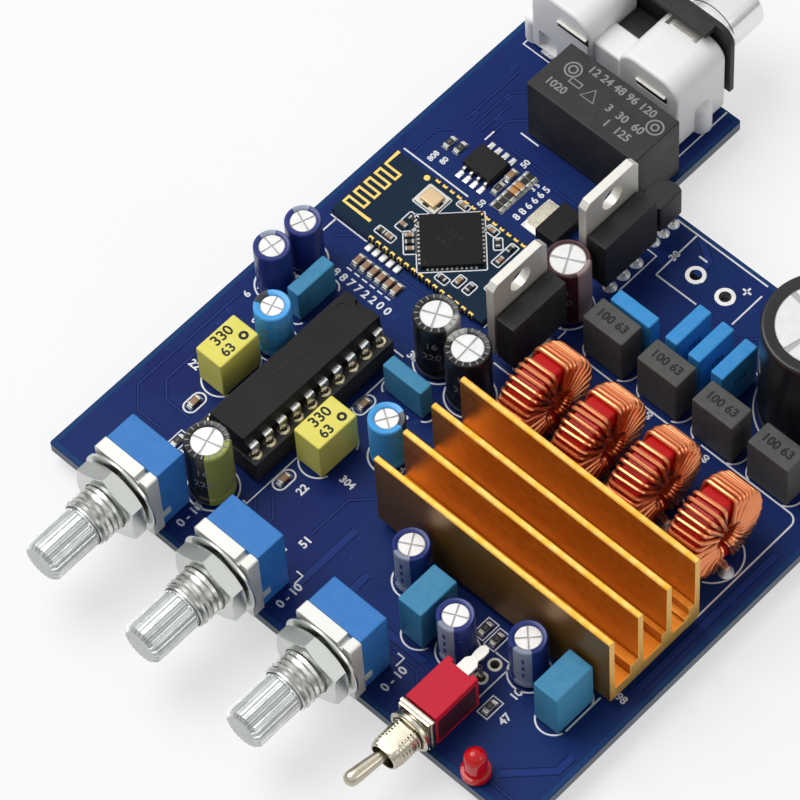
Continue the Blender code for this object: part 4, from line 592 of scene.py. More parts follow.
def grown(tree, mesh, values):
    """Runs a node tree over a mesh of places or lines and returns the plain mesh."""
    obj = linked("growing", mesh)
    modifier = obj.modifiers.new("tree", "NODES")
    modifier.node_group = tree
    for item in tree.interface.items_tree:
        if item.item_type == "SOCKET" and item.in_out == "INPUT" and item.name in values:
            modifier[item.identifier] = values[item.name]
    return plain(obj)


def places_mesh(places):
    """One point for each (x, y, z, turn) place."""
    mesh = bpy.data.meshes.new("places")
    mesh.from_pydata([place[:3] for place in places], [], [])
    turn = mesh.attributes.new("turn", "FLOAT", "POINT")
    turn.data.foreach_set("value", [math.radians(place[3]) if len(place) > 3 else 0.0
                                    for place in places])
    return mesh


def lines_mesh(lines):
    """Polylines as loose edges; a line that ends where it starts is a loop."""
    points, edges = [], []
    for line in lines:
        loop = (Vector(line[0]) - Vector(line[-1])).length < 1e-6 and len(line) > 2
        kept = line[:-1] if loop else line
        first = len(points)
        points += [Vector((p[0], p[1], p[2] if len(p) > 2 else 0.0)) for p in kept]
        edges += [(first + i, first + i + 1) for i in range(len(kept) - 1)]
        if loop:
            edges.append((len(points) - 1, first))
    mesh = bpy.data.meshes.new("lines")
    mesh.from_pydata(points, edges, [])
    return mesh


# Geometry node trees for what repeats or follows a line

def swept(tree, curve, radius=None, sides=8, section=None, caps=True):
    """Carries a round section, or the one given, along a curve."""
    section = section or node(tree, "GeometryNodeCurvePrimitiveCircle",
                              {"Resolution": sides, "Radius": radius})
    return node(tree, "GeometryNodeCurveToMesh", {"Curve": curve.outputs[0],
                                                  "Profile Curve": section.outputs[0],
                                                  "Fill Caps": caps})


def coated(tree, last, given, put):
    """Ends a tree: what it made becomes real and takes its finish."""
    real = node(tree, "GeometryNodeRealizeInstances", {0: last.outputs[0]})
    done = node(tree, "GeometryNodeSetMaterial", {"Geometry": real.outputs[0],
                                                  "Material": given["Finish"]})
    tree.links.new(done.outputs[0], put[0])
    return tree


def repeat_tree():
    """Stands one shape on every place, turned as the place says."""
    tree, given, put = new_group(
        "repeat_on_places", "GeometryNodeTree",
        [("Places", "Geometry", None), ("Shape", "Object", None), ("Finish", "Material", None)],
        [("Geometry", "Geometry")])
    turn = node(tree, "GeometryNodeInputNamedAttribute", {"Name": "turn"}, data_type="FLOAT")
    euler = node(tree, "ShaderNodeCombineXYZ", {2: turn.outputs[0]})
    rotation = node(tree, "FunctionNodeEulerToRotation", {0: euler.outputs[0]})
    shape = node(tree, "GeometryNodeObjectInfo", {"Object": given["Shape"],
                                                  "As Instance": True})
    copies = node(tree, "GeometryNodeInstanceOnPoints",
                  {"Points": given["Places"], "Instance": shape.outputs["Geometry"],
                   "Rotation": rotation.outputs[0]})
    return coated(tree, copies, given, put)


def strip_tree():
    """Lays a flat strip of ink or foil along every line."""
    tree, given, put = new_group(
        "strip_on_lines", "GeometryNodeTree",
        [("Lines", "Geometry", None), ("Width", "Float", 0.2), ("Thickness", "Float", 0.02),
         ("Finish", "Material", None)],
        [("Geometry", "Geometry")])
    curve = node(tree, "GeometryNodeMeshToCurve", {0: given["Lines"]})
    upright = node(tree, "GeometryNodeSetCurveNormal", {"Curve": curve.outputs[0]}, mode="Z_UP")
    section = node(tree, "GeometryNodeCurvePrimitiveQuadrilateral",
                   {"Width": given["Width"], "Height": given["Thickness"]})
    strip = swept(tree, upright, section=section)
    return coated(tree, strip, given, put)


def wire_tree():
    """Draws a round wire along every line, its bends rounded."""
    tree, given, put = new_group(
        "wire_on_lines", "GeometryNodeTree",
        [("Lines", "Geometry", None), ("Radius", "Float", 0.3), ("Sides", "Int", 8),
         ("Bend", "Float", 0.4), ("Finish", "Material", None)],
        [("Geometry", "Geometry")])
    curve = node(tree, "GeometryNodeMeshToCurve", {0: given["Lines"]})
    bent = node(tree, "GeometryNodeFilletCurve", {"Curve": curve.outputs[0], "Count": 3,
                                                  "Limit Radius": True}, mode="POLY")
    tree.links.new(given["Bend"], bent.inputs["Radius"])
    wire = swept(tree, bent, given["Radius"], given["Sides"])
    return coated(tree, wire, given, put)


def winding_tree():
    """Turns of wire round the section of a ring core, fanned about the core's axis."""
    tree, given, put = new_group(
        "winding_on_ring", "GeometryNodeTree",
        [("Places", "Geometry", None), ("Outer Radius", "Float", 6.6),
         ("Inner Radius", "Float", 2.75), ("Outer Width", "Float", 4.9),
         ("Inner Width", "Float", 4.4), ("Wire Radius", "Float", 0.33),
         ("Turns", "Int", 20), ("First Angle", "Float", 0.0), ("Last Angle", "Float", 1.0),
         ("Lean", "Float", 0.05), ("Jitter", "Float", 0.02), ("Seed", "Int", 1),
         ("Finish", "Material", None)],
        [("Geometry", "Geometry")])
    thick = math_node(tree, "SUBTRACT", given["Outer Radius"], given["Inner Radius"])
    middle = math_node(tree, "MULTIPLY", math_node(tree, "ADD", given["Outer Radius"],
                                                   given["Inner Radius"]), 0.5)
    loop = node(tree, "GeometryNodeCurvePrimitiveQuadrilateral",
                {"Bottom Width": given["Inner Width"], "Top Width": given["Outer Width"],
                 "Height": thick, "Offset": 0.0}, mode="TRAPEZOID")
    bent = node(tree, "GeometryNodeFilletCurve", {"Curve": loop.outputs[0], "Count": 4,
                                                  "Radius": 0.75, "Limit Radius": True},
                mode="POLY")
    out = node(tree, "ShaderNodeCombineXYZ", {1: middle})
    leant = node(tree, "ShaderNodeCombineXYZ", {1: given["Lean"]})
    tilt = node(tree, "GeometryNodeTransform", {"Geometry": bent.outputs[0]})
    tree.links.new(leant.outputs[0], tilt.inputs["Rotation"])
    tree.links.new(out.outputs[0], tilt.inputs["Translation"])
    turn = swept(tree, tilt, given["Wire Radius"], caps=False)
    points = node(tree, "GeometryNodePoints", {"Count": given["Turns"]})
    index = node(tree, "GeometryNodeInputIndex").outputs[0]
    steps = math_node(tree, "SUBTRACT", given["Turns"], 1.0)
    share = math_node(tree, "DIVIDE", index, steps)
    sweep = math_node(tree, "SUBTRACT", given["Last Angle"], given["First Angle"])
    angle = math_node(tree, "MULTIPLY_ADD", share, sweep, given["First Angle"])
    slip = node(tree, "FunctionNodeRandomValue", {2: -1.0, 3: 1.0, 7: index, 8: given["Seed"]},
                data_type="FLOAT").outputs[1]
    placed = math_node(tree, "MULTIPLY_ADD", slip, given["Jitter"], angle)
    euler = node(tree, "ShaderNodeCombineXYZ", {0: placed})
    rotation = node(tree, "FunctionNodeEulerToRotation", {0: euler.outputs[0]})
    skew = node(tree, "ShaderNodeCombineXYZ",
                {1: math_node(tree, "MULTIPLY", math_node(tree, "MULTIPLY", slip, -1.6),
                              given["Jitter"])})
    skewed = node(tree, "FunctionNodeEulerToRotation", {0: skew.outputs[0]})
    turned = node(tree, "FunctionNodeRotateRotation", {0: rotation.outputs[0],
                                                       1: skewed.outputs[0]},
                  rotation_space="LOCAL")
    fan = node(tree, "GeometryNodeInstanceOnPoints",
               {"Points": points.outputs[0], "Instance": turn.outputs[0],
                "Rotation": turned.outputs[0]})
    coils = node(tree, "GeometryNodeInstanceOnPoints", {"Points": given["Places"],
                                                        "Instance": fan.outputs[0]})
    return coated(tree, coils, given, put)


def thread_tree():
    """A screw thread standing on every place: a ridge wound round Z."""
    tree, given, put = new_group(
        "thread_on_places", "GeometryNodeTree",
        [("Places", "Geometry", None), ("Radius", "Float", 3.2), ("Length", "Float", 5.0),
         ("Pitch", "Float", 0.75), ("Ridge", "Float", 0.34), ("Finish", "Material", None)],
        [("Geometry", "Geometry")])
    turns = math_node(tree, "DIVIDE", given["Length"], given["Pitch"])
    spiral = node(tree, "GeometryNodeCurveSpiral",
                  {"Resolution": 28, "Rotations": turns, "Start Radius": given["Radius"],
                   "End Radius": given["Radius"], "Height": given["Length"]})
    ridge = swept(tree, spiral, given["Ridge"], 4)
    copies = node(tree, "GeometryNodeInstanceOnPoints", {"Points": given["Places"],
                                                         "Instance": ridge.outputs[0]})
    return coated(tree, copies, given, put)


REPEAT = repeat_tree()
STRIP = strip_tree()
WIRE = wire_tree()
WINDING = winding_tree()
THREAD = thread_tree()


def repeated(work, bm, places, finish):
    """Adds one shape at each (x, y, z, turn) place."""
    shape = linked("shape", mesh_of(bm))
    mesh = grown(REPEAT, places_mesh(places), {"Shape": shape, "Finish": finish})
    bpy.data.objects.remove(shape)
    return work.take(mesh, [finish])


def stripped(work, lines, finish, width, thickness=0.02):
    """Adds a flat strip of ink or foil along each line."""
    mesh = grown(STRIP, lines_mesh(lines), {"Width": width, "Thickness": thickness,
                                            "Finish": finish})
    return work.take(mesh, [finish])


def wired(work, lines, finish, radius, sides=8, bend=0.4):
    """Adds a round wire along each line."""
    mesh = grown(WIRE, lines_mesh(lines), {"Radius": radius, "Sides": sides, "Bend": bend,
                                           "Finish": finish})
    return work.take(mesh, [finish])


def threaded(radius, length, pitch, ridge, start, finish):
    """Mesh of one screw thread that starts at the given height."""
    values = {"Radius": radius, "Length": length, "Pitch": pitch, "Ridge": ridge, "Finish": finish}
    return grown(THREAD, places_mesh([(0.0, 0.0, start)]), values)


def digits_mesh(digits, size, depth, bold=0.0):
    """Flat plain digits centred on the origin."""
    text = bpy.data.curves.new("digits", "FONT")
    text.body = digits
    text.size = size
    text.align_x = "CENTER"
    text.align_y = "CENTER"
    text.extrude = depth / 2
    text.offset = bold
    text.resolution_u = 3
    return plain(linked("digits", text))


def numeral(work, digits, place, size, finish, turn=0.0, depth=0.02, matrix=None, bold=0.0):
    """Plain printed digits lying on a face, centred on their place."""
    stand = shift(*place) @ (matrix or Matrix.Identity(4)) @ spin(turn)
    return work.take(digits_mesh(digits, size, depth, bold), [finish], stand)


def wrapped(work, digits, size, radius, place, angle, finish):
    """Plain digits printed round an upright sleeve, middle at the angle given."""
    mesh = digits_mesh(digits, size, 0.024)
    x, y, z = place
    for vert in mesh.vertices:
        turn = math.radians(angle) + vert.co.x / radius
        reach = radius + vert.co.z
        vert.co = (x + reach * math.cos(turn), y + reach * math.sin(turn), z + vert.co.y)
    work.take(mesh, [finish])


def leads(work, places, radius=0.3, high=0.6):
    """Tinned leads that stand in the board at each (x, y)."""
    for x, y in places:
        work.put(post(radius, high, -0.2, 8), TIN, matrix=shift(x, y))


# Circuit board

SUPPLY_HOLES = ((44.6, 74.8), (49.7, 74.8))
SWITCH_HOLES = ((64.7, 12.1), (64.7, 14.64))
SCREWS = ((44.7, 27.98), (74.7, 27.98))
VIAS = ((16.4, 45.1), (17.9, 44.9), (19.9, 43.9), (22.3, 44.8), (8.0, 47.6), (7.2, 46.2),
        (30.2, 46.8), (31.7, 48.6), (33.0, 34.0), (38.2, 33.6), (5.4, 74.6), (8.2, 76.0),
        (6.9, 79.4), (9.8, 81.2), (4.2, 83.5), (31.0, 66.1), (31.2, 73.4), (39.6, 16.8),
        (41.0, 13.9), (44.4, 10.8), (38.4, 10.4), (2.9, 30.2), (3.4, 27.9), (27.6, 9.4),
        (24.9, 6.4), (41.8, 6.9), (58.0, 6.2), (79.2, 7.4), (80.2, 29.8), (80.6, 41.2),
        (60.9, 51.3), (70.8, 51.9), (53.9, 75.6), (57.3, 78.0), (40.2, 52.2), (13.3, 8.4))


def circle(x, y, radius, start=0.0, end=360.0, steps=28):
    return arc((x, y), radius, start, end, steps)


def raised(points, z):
    return [(p[0], p[1], z) for p in points]


def board_card():
    """The laminate with its drilled holes, tinned pads and covered vias."""
    c = 0.4
    outline = (arc((c, c), c, 270, 180, 3) + arc((c, LEG_BACK - c), c, 180, 90, 3)
               + arc((LEG_WIDTH - c, LEG_BACK - c), c, 90, 0, 3)
               + [(LEG_WIDTH, BOARD_DEPTH)]
               + arc((BOARD_WIDTH - c, BOARD_DEPTH - c), c, 90, 0, 3)
               + arc((BOARD_WIDTH - c, c), c, 0, -90, 3))
    loops = [outline]
    loops += [circle(x, y, 0.90, steps=20)[:-1] for x, y in SUPPLY_HOLES]
    loops += [circle(x, y, 0.67, steps=16)[:-1] for x, y in SWITCH_HOLES]
    loops += [circle(x, y, 1.80, steps=20)[:-1] for x, y in SCREWS]
    curve = bpy.data.curves.new("outline", "CURVE")
    curve.dimensions = "2D"
    curve.fill_mode = "BOTH"
    curve.extrude = BOARD_THICKNESS / 2
    for loop in loops:
        spline = curve.splines.new("POLY")
        spline.points.add(len(loop) - 1)
        for point, (x, y) in zip(spline.points, loop):
            point.co = (x, y, 0.0, 1.0)
        spline.use_cyclic_u = True
    bm = welded(plain(linked("outline", curve)))
    bmesh.ops.recalc_face_normals(bm, faces=bm.faces)
    for face in bm.faces:
        face.material_index = 0 if abs(face.normal.z) > 0.5 else 1
    work = Work()
    work.put(bm, MASK, LAMINATE, matrix=shift(z=-BOARD_THICKNESS / 2))
    under = -BOARD_THICKNESS

    def plated(outer, bore):
        return lathe([(bore, 0.05), (outer - 0.05, 0.05), (outer, 0.0), (bore + 0.05, 0.0),
                      (bore + 0.05, under), (outer, under), (outer - 0.05, under - 0.05),
                      (bore, under - 0.05)], 24, ring=True)

    repeated(work, plated(1.45, 0.85), [(x, y, 0.0) for x, y in SUPPLY_HOLES], TIN)
    repeated(work, plated(1.00, 0.62), [(x, y, 0.0) for x, y in SWITCH_HOLES], DULL_TIN)
    # Black discs low in the supply and switch holes: painted shade inside the holes.
    painted_shade_plug = slab((0.0, 0.0, under + 0.1), (1.7, 1.7, 0.1))
    repeated(work, painted_shade_plug, [(x, y, 0.0) for x, y in SUPPLY_HOLES + SWITCH_HOLES], BLACK)
    via = lathe([(0.16, 0.0), (0.20, 0.03), (0.36, 0.03), (0.42, 0.0)], 12, ring=True)
    repeated(work, via, [(x, y, 0.0) for x, y in VIAS], TRACE)
    low_via = lathe([(0.16, 0.0), (0.42, 0.0), (0.36, -0.03), (0.20, -0.03)], 12, ring=True)
    repeated(work, low_via, [(x, y, under) for x, y in VIAS], TRACE)
    return work.settle("board_card", "board_blue", "circuit_board")


def copper_traces():
    """Traces and pours that stand a little proud under the solder mask."""
    z = 0.010
    power = [[(57.2, 79.0), (57.2, 75.4), (60.0, 72.6)], [(44.6, 74.8), (44.6, 77.5), (41.5, 79.4)],
             [(35.0, 36.5), (37.2, 34.3), (37.2, 26.0)], [(38.4, 17.0), (38.4, 4.2)],
             [(44.0, 13.4), (44.0, 6.0), (42.0, 4.0)], [(47.3, 9.0), (57.9, 9.0)],
             [(80.2, 24.0), (80.2, 50.0)], [(75.5, 3.8), (80.6, 8.9), (80.6, 11.6)]]
    fine = [[(2.2, 33.0), (2.2, 14.0), (5.0, 11.2), (9.0, 11.2)],
            [(4.4, 24.6), (4.4, 17.0), (6.6, 14.8), (11.0, 14.8)],
            [(27.0, 13.6), (29.4, 11.2), (29.4, 8.2)], [(25.4, 12.0), (27.8, 9.6), (27.8, 6.4)],
            [(37.0, 22.0), (34.6, 19.6), (34.6, 12.8)],
            [(41.4, 8.6), (46.0, 8.6), (46.0, 2.4)], [(53.0, 7.4), (58.2, 7.4), (60.8, 4.8)],
            [(28.4, 64.0), (32.0, 64.0)], [(21.6, 72.4), (32.4, 72.4)], [(5.2, 73.0), (5.2, 84.0)],
            [(6.6, 73.0), (6.6, 80.0), (9.0, 82.4), (9.0, 85.6)], [(8.0, 73.0), (8.0, 78.4)],
            [(9.4, 73.6), (9.4, 76.2), (11.6, 78.4)], [(3.4, 64.2), (3.4, 69.0), (5.0, 70.6)],
            [(13.0, 73.4), (19.6, 73.4)], [(30.6, 50.0), (33.0, 47.6), (38.8, 47.6)],
            [(5.0, 47.6), (7.0, 49.6)], [(14.9, 48.6), (24.0, 48.6), (26.4, 46.2)],
            [(21.2, 47.4), (25.6, 43.0)], [(31.6, 36.0), (31.6, 47.0)],
            [(56.0, 52.2), (61.0, 52.2), (63.0, 54.2)], [(66.0, 52.2), (71.0, 52.2)],
            [(49.6, 71.0), (55.4, 71.0), (58.0, 73.6)],
            [(54.8, 79.2), (66.0, 79.2)], [(70.6, 2.2), (81.0, 2.2)]]
    edge = 0.46
    margin = [(edge, edge), (edge, LEG_BACK - edge), (LEG_WIDTH - edge, LEG_BACK - edge),
              (LEG_WIDTH - edge, BOARD_DEPTH - edge), (BOARD_WIDTH - edge, BOARD_DEPTH - edge),
              (BOARD_WIDTH - edge, edge), (edge, edge)]
    work = Work()
    stripped(work, [raised(margin, 0.0)], MARGIN, 0.80, 0.03)
    stripped(work, [raised(line, 0.001) for line in power], TRACE_EDGE, 1.3, 0.03)
    stripped(work, [raised(line, 0.004) for line in power], TRACE, 1.0, 0.03)
    stripped(work, [raised(line, 0.007) for line in fine], TRACE_EDGE, 0.56, 0.03)
    stripped(work, [raised(line, z) for line in fine], TRACE, 0.28, 0.03)
    low = -BOARD_THICKNESS - z
    under = [[(x, 6.0, low), (x, 16.0, low), (x + 4.0, 20.0, low), (x + 4.0, 33.0, low)]
             for x in (8.0, 10.0, 27.0, 29.0, 33.0)]
    under += [[(40.0 + 2.1 * i, 52.0, low), (40.0 + 2.1 * i, 60.0 + i, low),
               (42.0 + 2.1 * i, 62.0 + i, low)] for i in range(16)]
    stripped(work, under, TRACE, 0.45, 0.03)
    low = -BOARD_THICKNESS - 0.004
    wide = [[(44.6, 74.8, low), (44.6, 66.0, low), (38.0, 59.4, low), (38.0, 40.0, low)],
            [(49.7, 74.8, low), (49.7, 69.0, low), (60.0, 69.0, low)],
            [(46.0, 39.0, low), (46.0, 34.0, low)], [(56.0, 39.0, low), (56.0, 34.0, low)],
            [(64.0, 39.0, low), (64.0, 34.0, low)], [(74.0, 39.0, low), (74.0, 34.0, low)]]
    stripped(work, wide, TRACE, 2.4, 0.03)
    return work.settle("copper_traces", "board_blue")


def film_half_rounds():
    """Silk half rounds at the ends of the film capacitors."""
    lines = []
    for kind in FILMS.values():
        for x, y, width, depth in kind["places"]:
            cx, cy = x + width / 2, y + depth / 2
            if depth > width:
                r = width / 2 + 0.35
                lines.append(circle(cx, y + r - 0.9, r, 200, 340, 14))
                lines.append(circle(cx, y + depth - r + 0.9, r, 20, 160, 14))
            else:
                r = depth / 2 + 0.35
                lines.append(circle(x + r - 0.9, cy, r, 110, 250, 14))
                lines.append(circle(x + width - r + 0.9, cy, r, -70, 70, 14))
    return lines


def silk_screen():
    """White printed outlines, part frames and plain numbers."""
    z = 0.030
    lines = [[(40.7, 71.4), (47.7, 71.4)], [(40.7, 71.4), (40.6, 79.5)],
             [(53.2, 72.2), (53.2, 78.1)], [(37.0, 79.7), (52.8, 79.7)],
             [(34.2, 47.2), (37.4, 47.2)], [(12.2, 76.2), (15.4, 76.2)],
             [(38.8, 66.2), (38.8, 73.6), (36.8, 73.6), (36.6, 75.0)],
             [(35.3, 57.0), (37.9, 57.0), (37.9, 55.5)], [(77.6, 13.6), (77.6, 20.0)],
             [(62.4, 55.8), (77.4, 55.8)] + arc((77.4, 54.4), 1.4, 90, 0, 6) + [(78.8, 34.5)],
             [(40.6, 55.3), (61.0, 55.3)],
             [(2.5, 97.0), (2.5, 87.2), (30.4, 87.2), (30.4, 97.0)],
             [(32.4, 74.4), (32.4, 78.2), (31.4, 78.2)],
             [(24.6, 10.6), (25.3, 10.6), (25.3, 39.2)], [(13.3, 10.6), (17.8, 10.6)],
             [(13.3, 40.0), (24.9, 40.0)], [(3.4, 34.9), (3.4, 49.9)], [(2.3, 64.0), (14.0, 64.0)],
             [(66.4, 9.8), (66.4, 16.0), (63.6, 16.0)], [(62.6, 10.6), (62.6, 13.4)],
             [(15.5, 67.4), (15.5, 70.6)], [(9.4, 72.2), (9.4, 74.0)], [(40.4, 40.0), (40.4, 49.2)],
             [(69.9, 52.4), (71.1, 52.4)], [(57.9, 24.9), (57.9, 24.2)]]
    lines += [[(9.8 + 1.38 * i, 45.2), (10.7 + 1.38 * i, 45.2)] for i in range(6)]
    for x in CONTROLS.values():
        lines += [[(x - 5.2, 0.5), (x - 5.2, 2.0)], [(x - 5.2, 6.4), (x - 5.2, 7.3), (x - 4.0, 7.3)],
                  [(x + 3.9, 7.7), (x + 5.0, 7.7), (x + 5.0, 6.2)]]
    lines += [circle(x, COIL_Y, 4.15, -66, 62, 20) for x in COILS]
    lines.append(circle(*MAIN_CAN_PLACE, 8.45, steps=48))
    for x, y, radius in CAN_RINGS:
        lines += [circle(x, y, radius + 0.35, steps=30)]
    lines += film_half_rounds()
    for x, y in CHIP_FRAMES:
        w, d = 0.85, 1.5
        lines.append([(x - w, y - d), (x + w, y - d), (x + w, y + d), (x - w, y + d),
                      (x - w, y - d)])
    for x, y in ROUND_CHIP_FRAMES:
        outline = rounded(x - 0.95, y - 1.7, x + 0.95, y + 1.7, 0.93, 5)
        lines.append(outline + outline[:1])
    work = Work()
    stripped(work, [raised(line, z) for line in lines], SILK, 0.24, 0.02)
    for digits, x, y, size, turn in SILK_NUMBERS:
        numeral(work, digits, (x, y, z), size, SILK, turn, bold=0.03 * size)
    stripped(work, [[(43.0, 77.3, z), (44.4, 77.3, z)], [(50.6, 77.3, z), (52.0, 77.3, z)],
                    [(51.3, 76.6, z), (51.3, 78.0, z)]], SILK, 0.30, 0.02)
    return work.settle("silk_screen", "white")


def under_joints():
    """Solder cones where leads come through, below the board."""
    tall = [(x + i * 2.5, 3.6) for x in CONTROLS.values() for i in (-1, 0, 1)]
    tall += [(x + dx, JACK_FRONT + 1.6) for x in JACKS.values() for dx in (-3.0, 3.0)]
    left, front, right, back = RELAY
    tall += [(left + (right - left) * a, front + (back - front) * b)
             for a in (0.1, 0.5, 0.9) for b in (0.2, 0.8)]
    x, y = MAIN_CAN_PLACE
    tall += [(x - MAIN_CAN_LEAD, y), (x + MAIN_CAN_LEAD, y), (SWITCH_X, 3.8), (SWITCH_X, 7.7)]
    tall += [(x + dx, COIL_Y + dy) for x in COILS for dx, dy in COIL_LEADS]
    small = [(x, SOCKET_FIRST + PIN_PITCH * i) for x in SOCKET_ROWS for i in range(SOCKET_PINS)]
    for kind in FILMS.values():
        for place in kind["places"]:
            small += film_leads(*place)
    small += [(ring[0] + dx, ring[1]) for ring in CAN_RINGS for dx in (-CAN_LEAD, CAN_LEAD)]
    small += [(x + 3.1, y + i * PIN_PITCH) for x, y in REGULATORS.values() for i in (-1, 0, 1)]
    x, y = LAMP_PLACE
    small += [(x - LAMP_LEAD, y), (x + LAMP_LEAD, y)]
    low = -BOARD_THICKNESS
    cone = [(0.0, -1.75), (0.30, -1.72), (0.36, -1.2), (0.50, -0.75), (0.85, -0.30),
            (1.25, -0.04), (1.3, 0.02), (0.0, 0.02)]
    work = Work()
    repeated(work, lathe(cone, 16), [(x, y, low) for x, y in tall], TIN)
    dome = [(0.0, -1.05), (0.20, -1.0), (0.30, -0.70), (0.55, -0.28), (0.88, -0.04), (0.9, 0.02),
            (0.0, 0.02)]
    repeated(work, lathe(dome, 14), [(x, y, low) for x, y in small], TIN)
    return work.settle("solder_joints_under_board", "plated_steel")


# Film capacitors: front left corner, width and depth of each

FILM_LEAD = 2.5
FILMS = {
    "yellow": {"finish": YELLOW_BOX, "height": 7.3,
               "places": [(7.5, 20.0, 4.6, 7.0), (25.4, 19.6, 4.6, 7.0)]},
    "slim_teal": {"finish": TEAL_BOX, "height": 6.2,
                  "places": [(9.15, 35.0, 2.15, 6.8), (26.6, 34.65, 6.8, 2.15)]},
    "teal": {"finish": TEAL_BOX, "height": 8.6,
             "places": [(52.7, 10.1, 4.0, 6.7), (73.3, 12.5, 4.0, 6.7)]},
    "light_blue": {"finish": SKY_BOX, "height": 8.3,
                   "places": [(42.4, 60.6, 6.8, 2.1), (51.45, 61.0, 2.1, 6.8),
                              (55.35, 61.0, 2.1, 6.8), (59.25, 61.0, 2.1, 6.8)]},
    "grey": {"finish": GREY_BOX, "height": 8.6,
             "places": [(41.7 + 9.35 * i, 56.1, 6.8, 4.0) for i in range(4)]},
}


def film_leads(x, y, width, depth):
    """Where the two leads of a film capacitor go through the board."""
    dx, dy = (0.0, FILM_LEAD) if depth > width else (FILM_LEAD, 0.0)
    cx, cy = x + width / 2, y + depth / 2
    return [(cx - dx, cy - dy), (cx + dx, cy + dy)]


def film_capacitors():
    """Resin-filled boxes on two leads each, with plain printed numbers."""
    for name, kind in FILMS.items():
        work = Work()
        height = kind["height"]
        for x, y, width, depth in kind["places"]:
            work.put(box((x, y, 0.25), (x + width, y + depth, height), 0.26, 3), kind["finish"])
            tall = depth > width
            cx, cy = x + width / 2, y + depth / 2
            leads(work, film_leads(x, y, width, depth))
            if name == "yellow":
                numeral(work, "330", (cx - 1.0, cy + 0.1, height), 2.2, PRINT_DARK, 90, bold=0.05)
                numeral(work, "63", (cx + 1.1, cy - 0.9, height), 2.0, PRINT_DARK, 90, bold=0.05)
                dot = lathe([(0.28, 0.012), (0.68, 0.012), (0.68, 0.0), (0.28, 0.0)], 24, ring=True)
                work.put(dot, PRINT_DARK, matrix=shift(cx + 1.0, cy + 2.0, height))
            if name == "grey":
                numeral(work, "100 63", (cx, cy, height), 1.8, PRINT_DARK, bold=0.07)
            if name == "teal":
                numeral(work, "474", (cx, cy, height), 1.4, TEAL_BOX, 90, 0.03)
            if name == "light_blue" and tall:
                numeral(work, "104", (x + width, cy, height * 0.55), 1.7, PRINT_DARK, 0, 0.02,
                        TO_RIGHT)
        work.settle("film_capacitors_" + name, "board_blue")


# Electrolytic capacitors

# Radius, height and crimp level of each size of can
SMALL_CAN = (2.5, 8.9, 1.2)
TALL_CAN = (3.1, 11.3, 1.5)
MAIN_CAN = (8.0, 19.7, 2.2)
CAN_LEAD = 1.1
MAIN_CAN_LEAD = 3.75
# Each can's tone, place, size and the angle of its band
CANS = {
    "capacitor_navy_1": ("navy", 4.7, 37.1, SMALL_CAN, 150),
    "capacitor_navy_2": ("navy", 5.0, 42.6, SMALL_CAN, 140),
    "capacitor_navy_3": ("navy", 48.9, 16.7, SMALL_CAN, -80),
    "capacitor_navy_4": ("navy", 59.9, 13.0, SMALL_CAN, -84),
    "capacitor_navy_5": ("navy", 68.7, 16.7, SMALL_CAN, -64),
    "capacitor_light_blue_1": ("light_blue", 11.2, 30.5, SMALL_CAN, 178),
    "capacitor_light_blue_2": ("light_blue", 33.9, 28.0, SMALL_CAN, 38),
    "capacitor_olive": ("olive", 20.5, 9.4, TALL_CAN, -4),
    "capacitor_black_1": ("black", 28.9, 42.6, TALL_CAN, 5),
    "capacitor_black_2": ("black", 35.4, 41.5, TALL_CAN, 165),
    "capacitor_maroon": ("maroon", 35.7, 60.0, TALL_CAN, 8),
    "main_capacitor": ("black", *MAIN_CAN_PLACE, MAIN_CAN, 60),
}
CAN_RINGS = [(x, y, size[0]) for title, (tone, x, y, size, turn) in CANS.items()
             if title != "main_capacitor"]


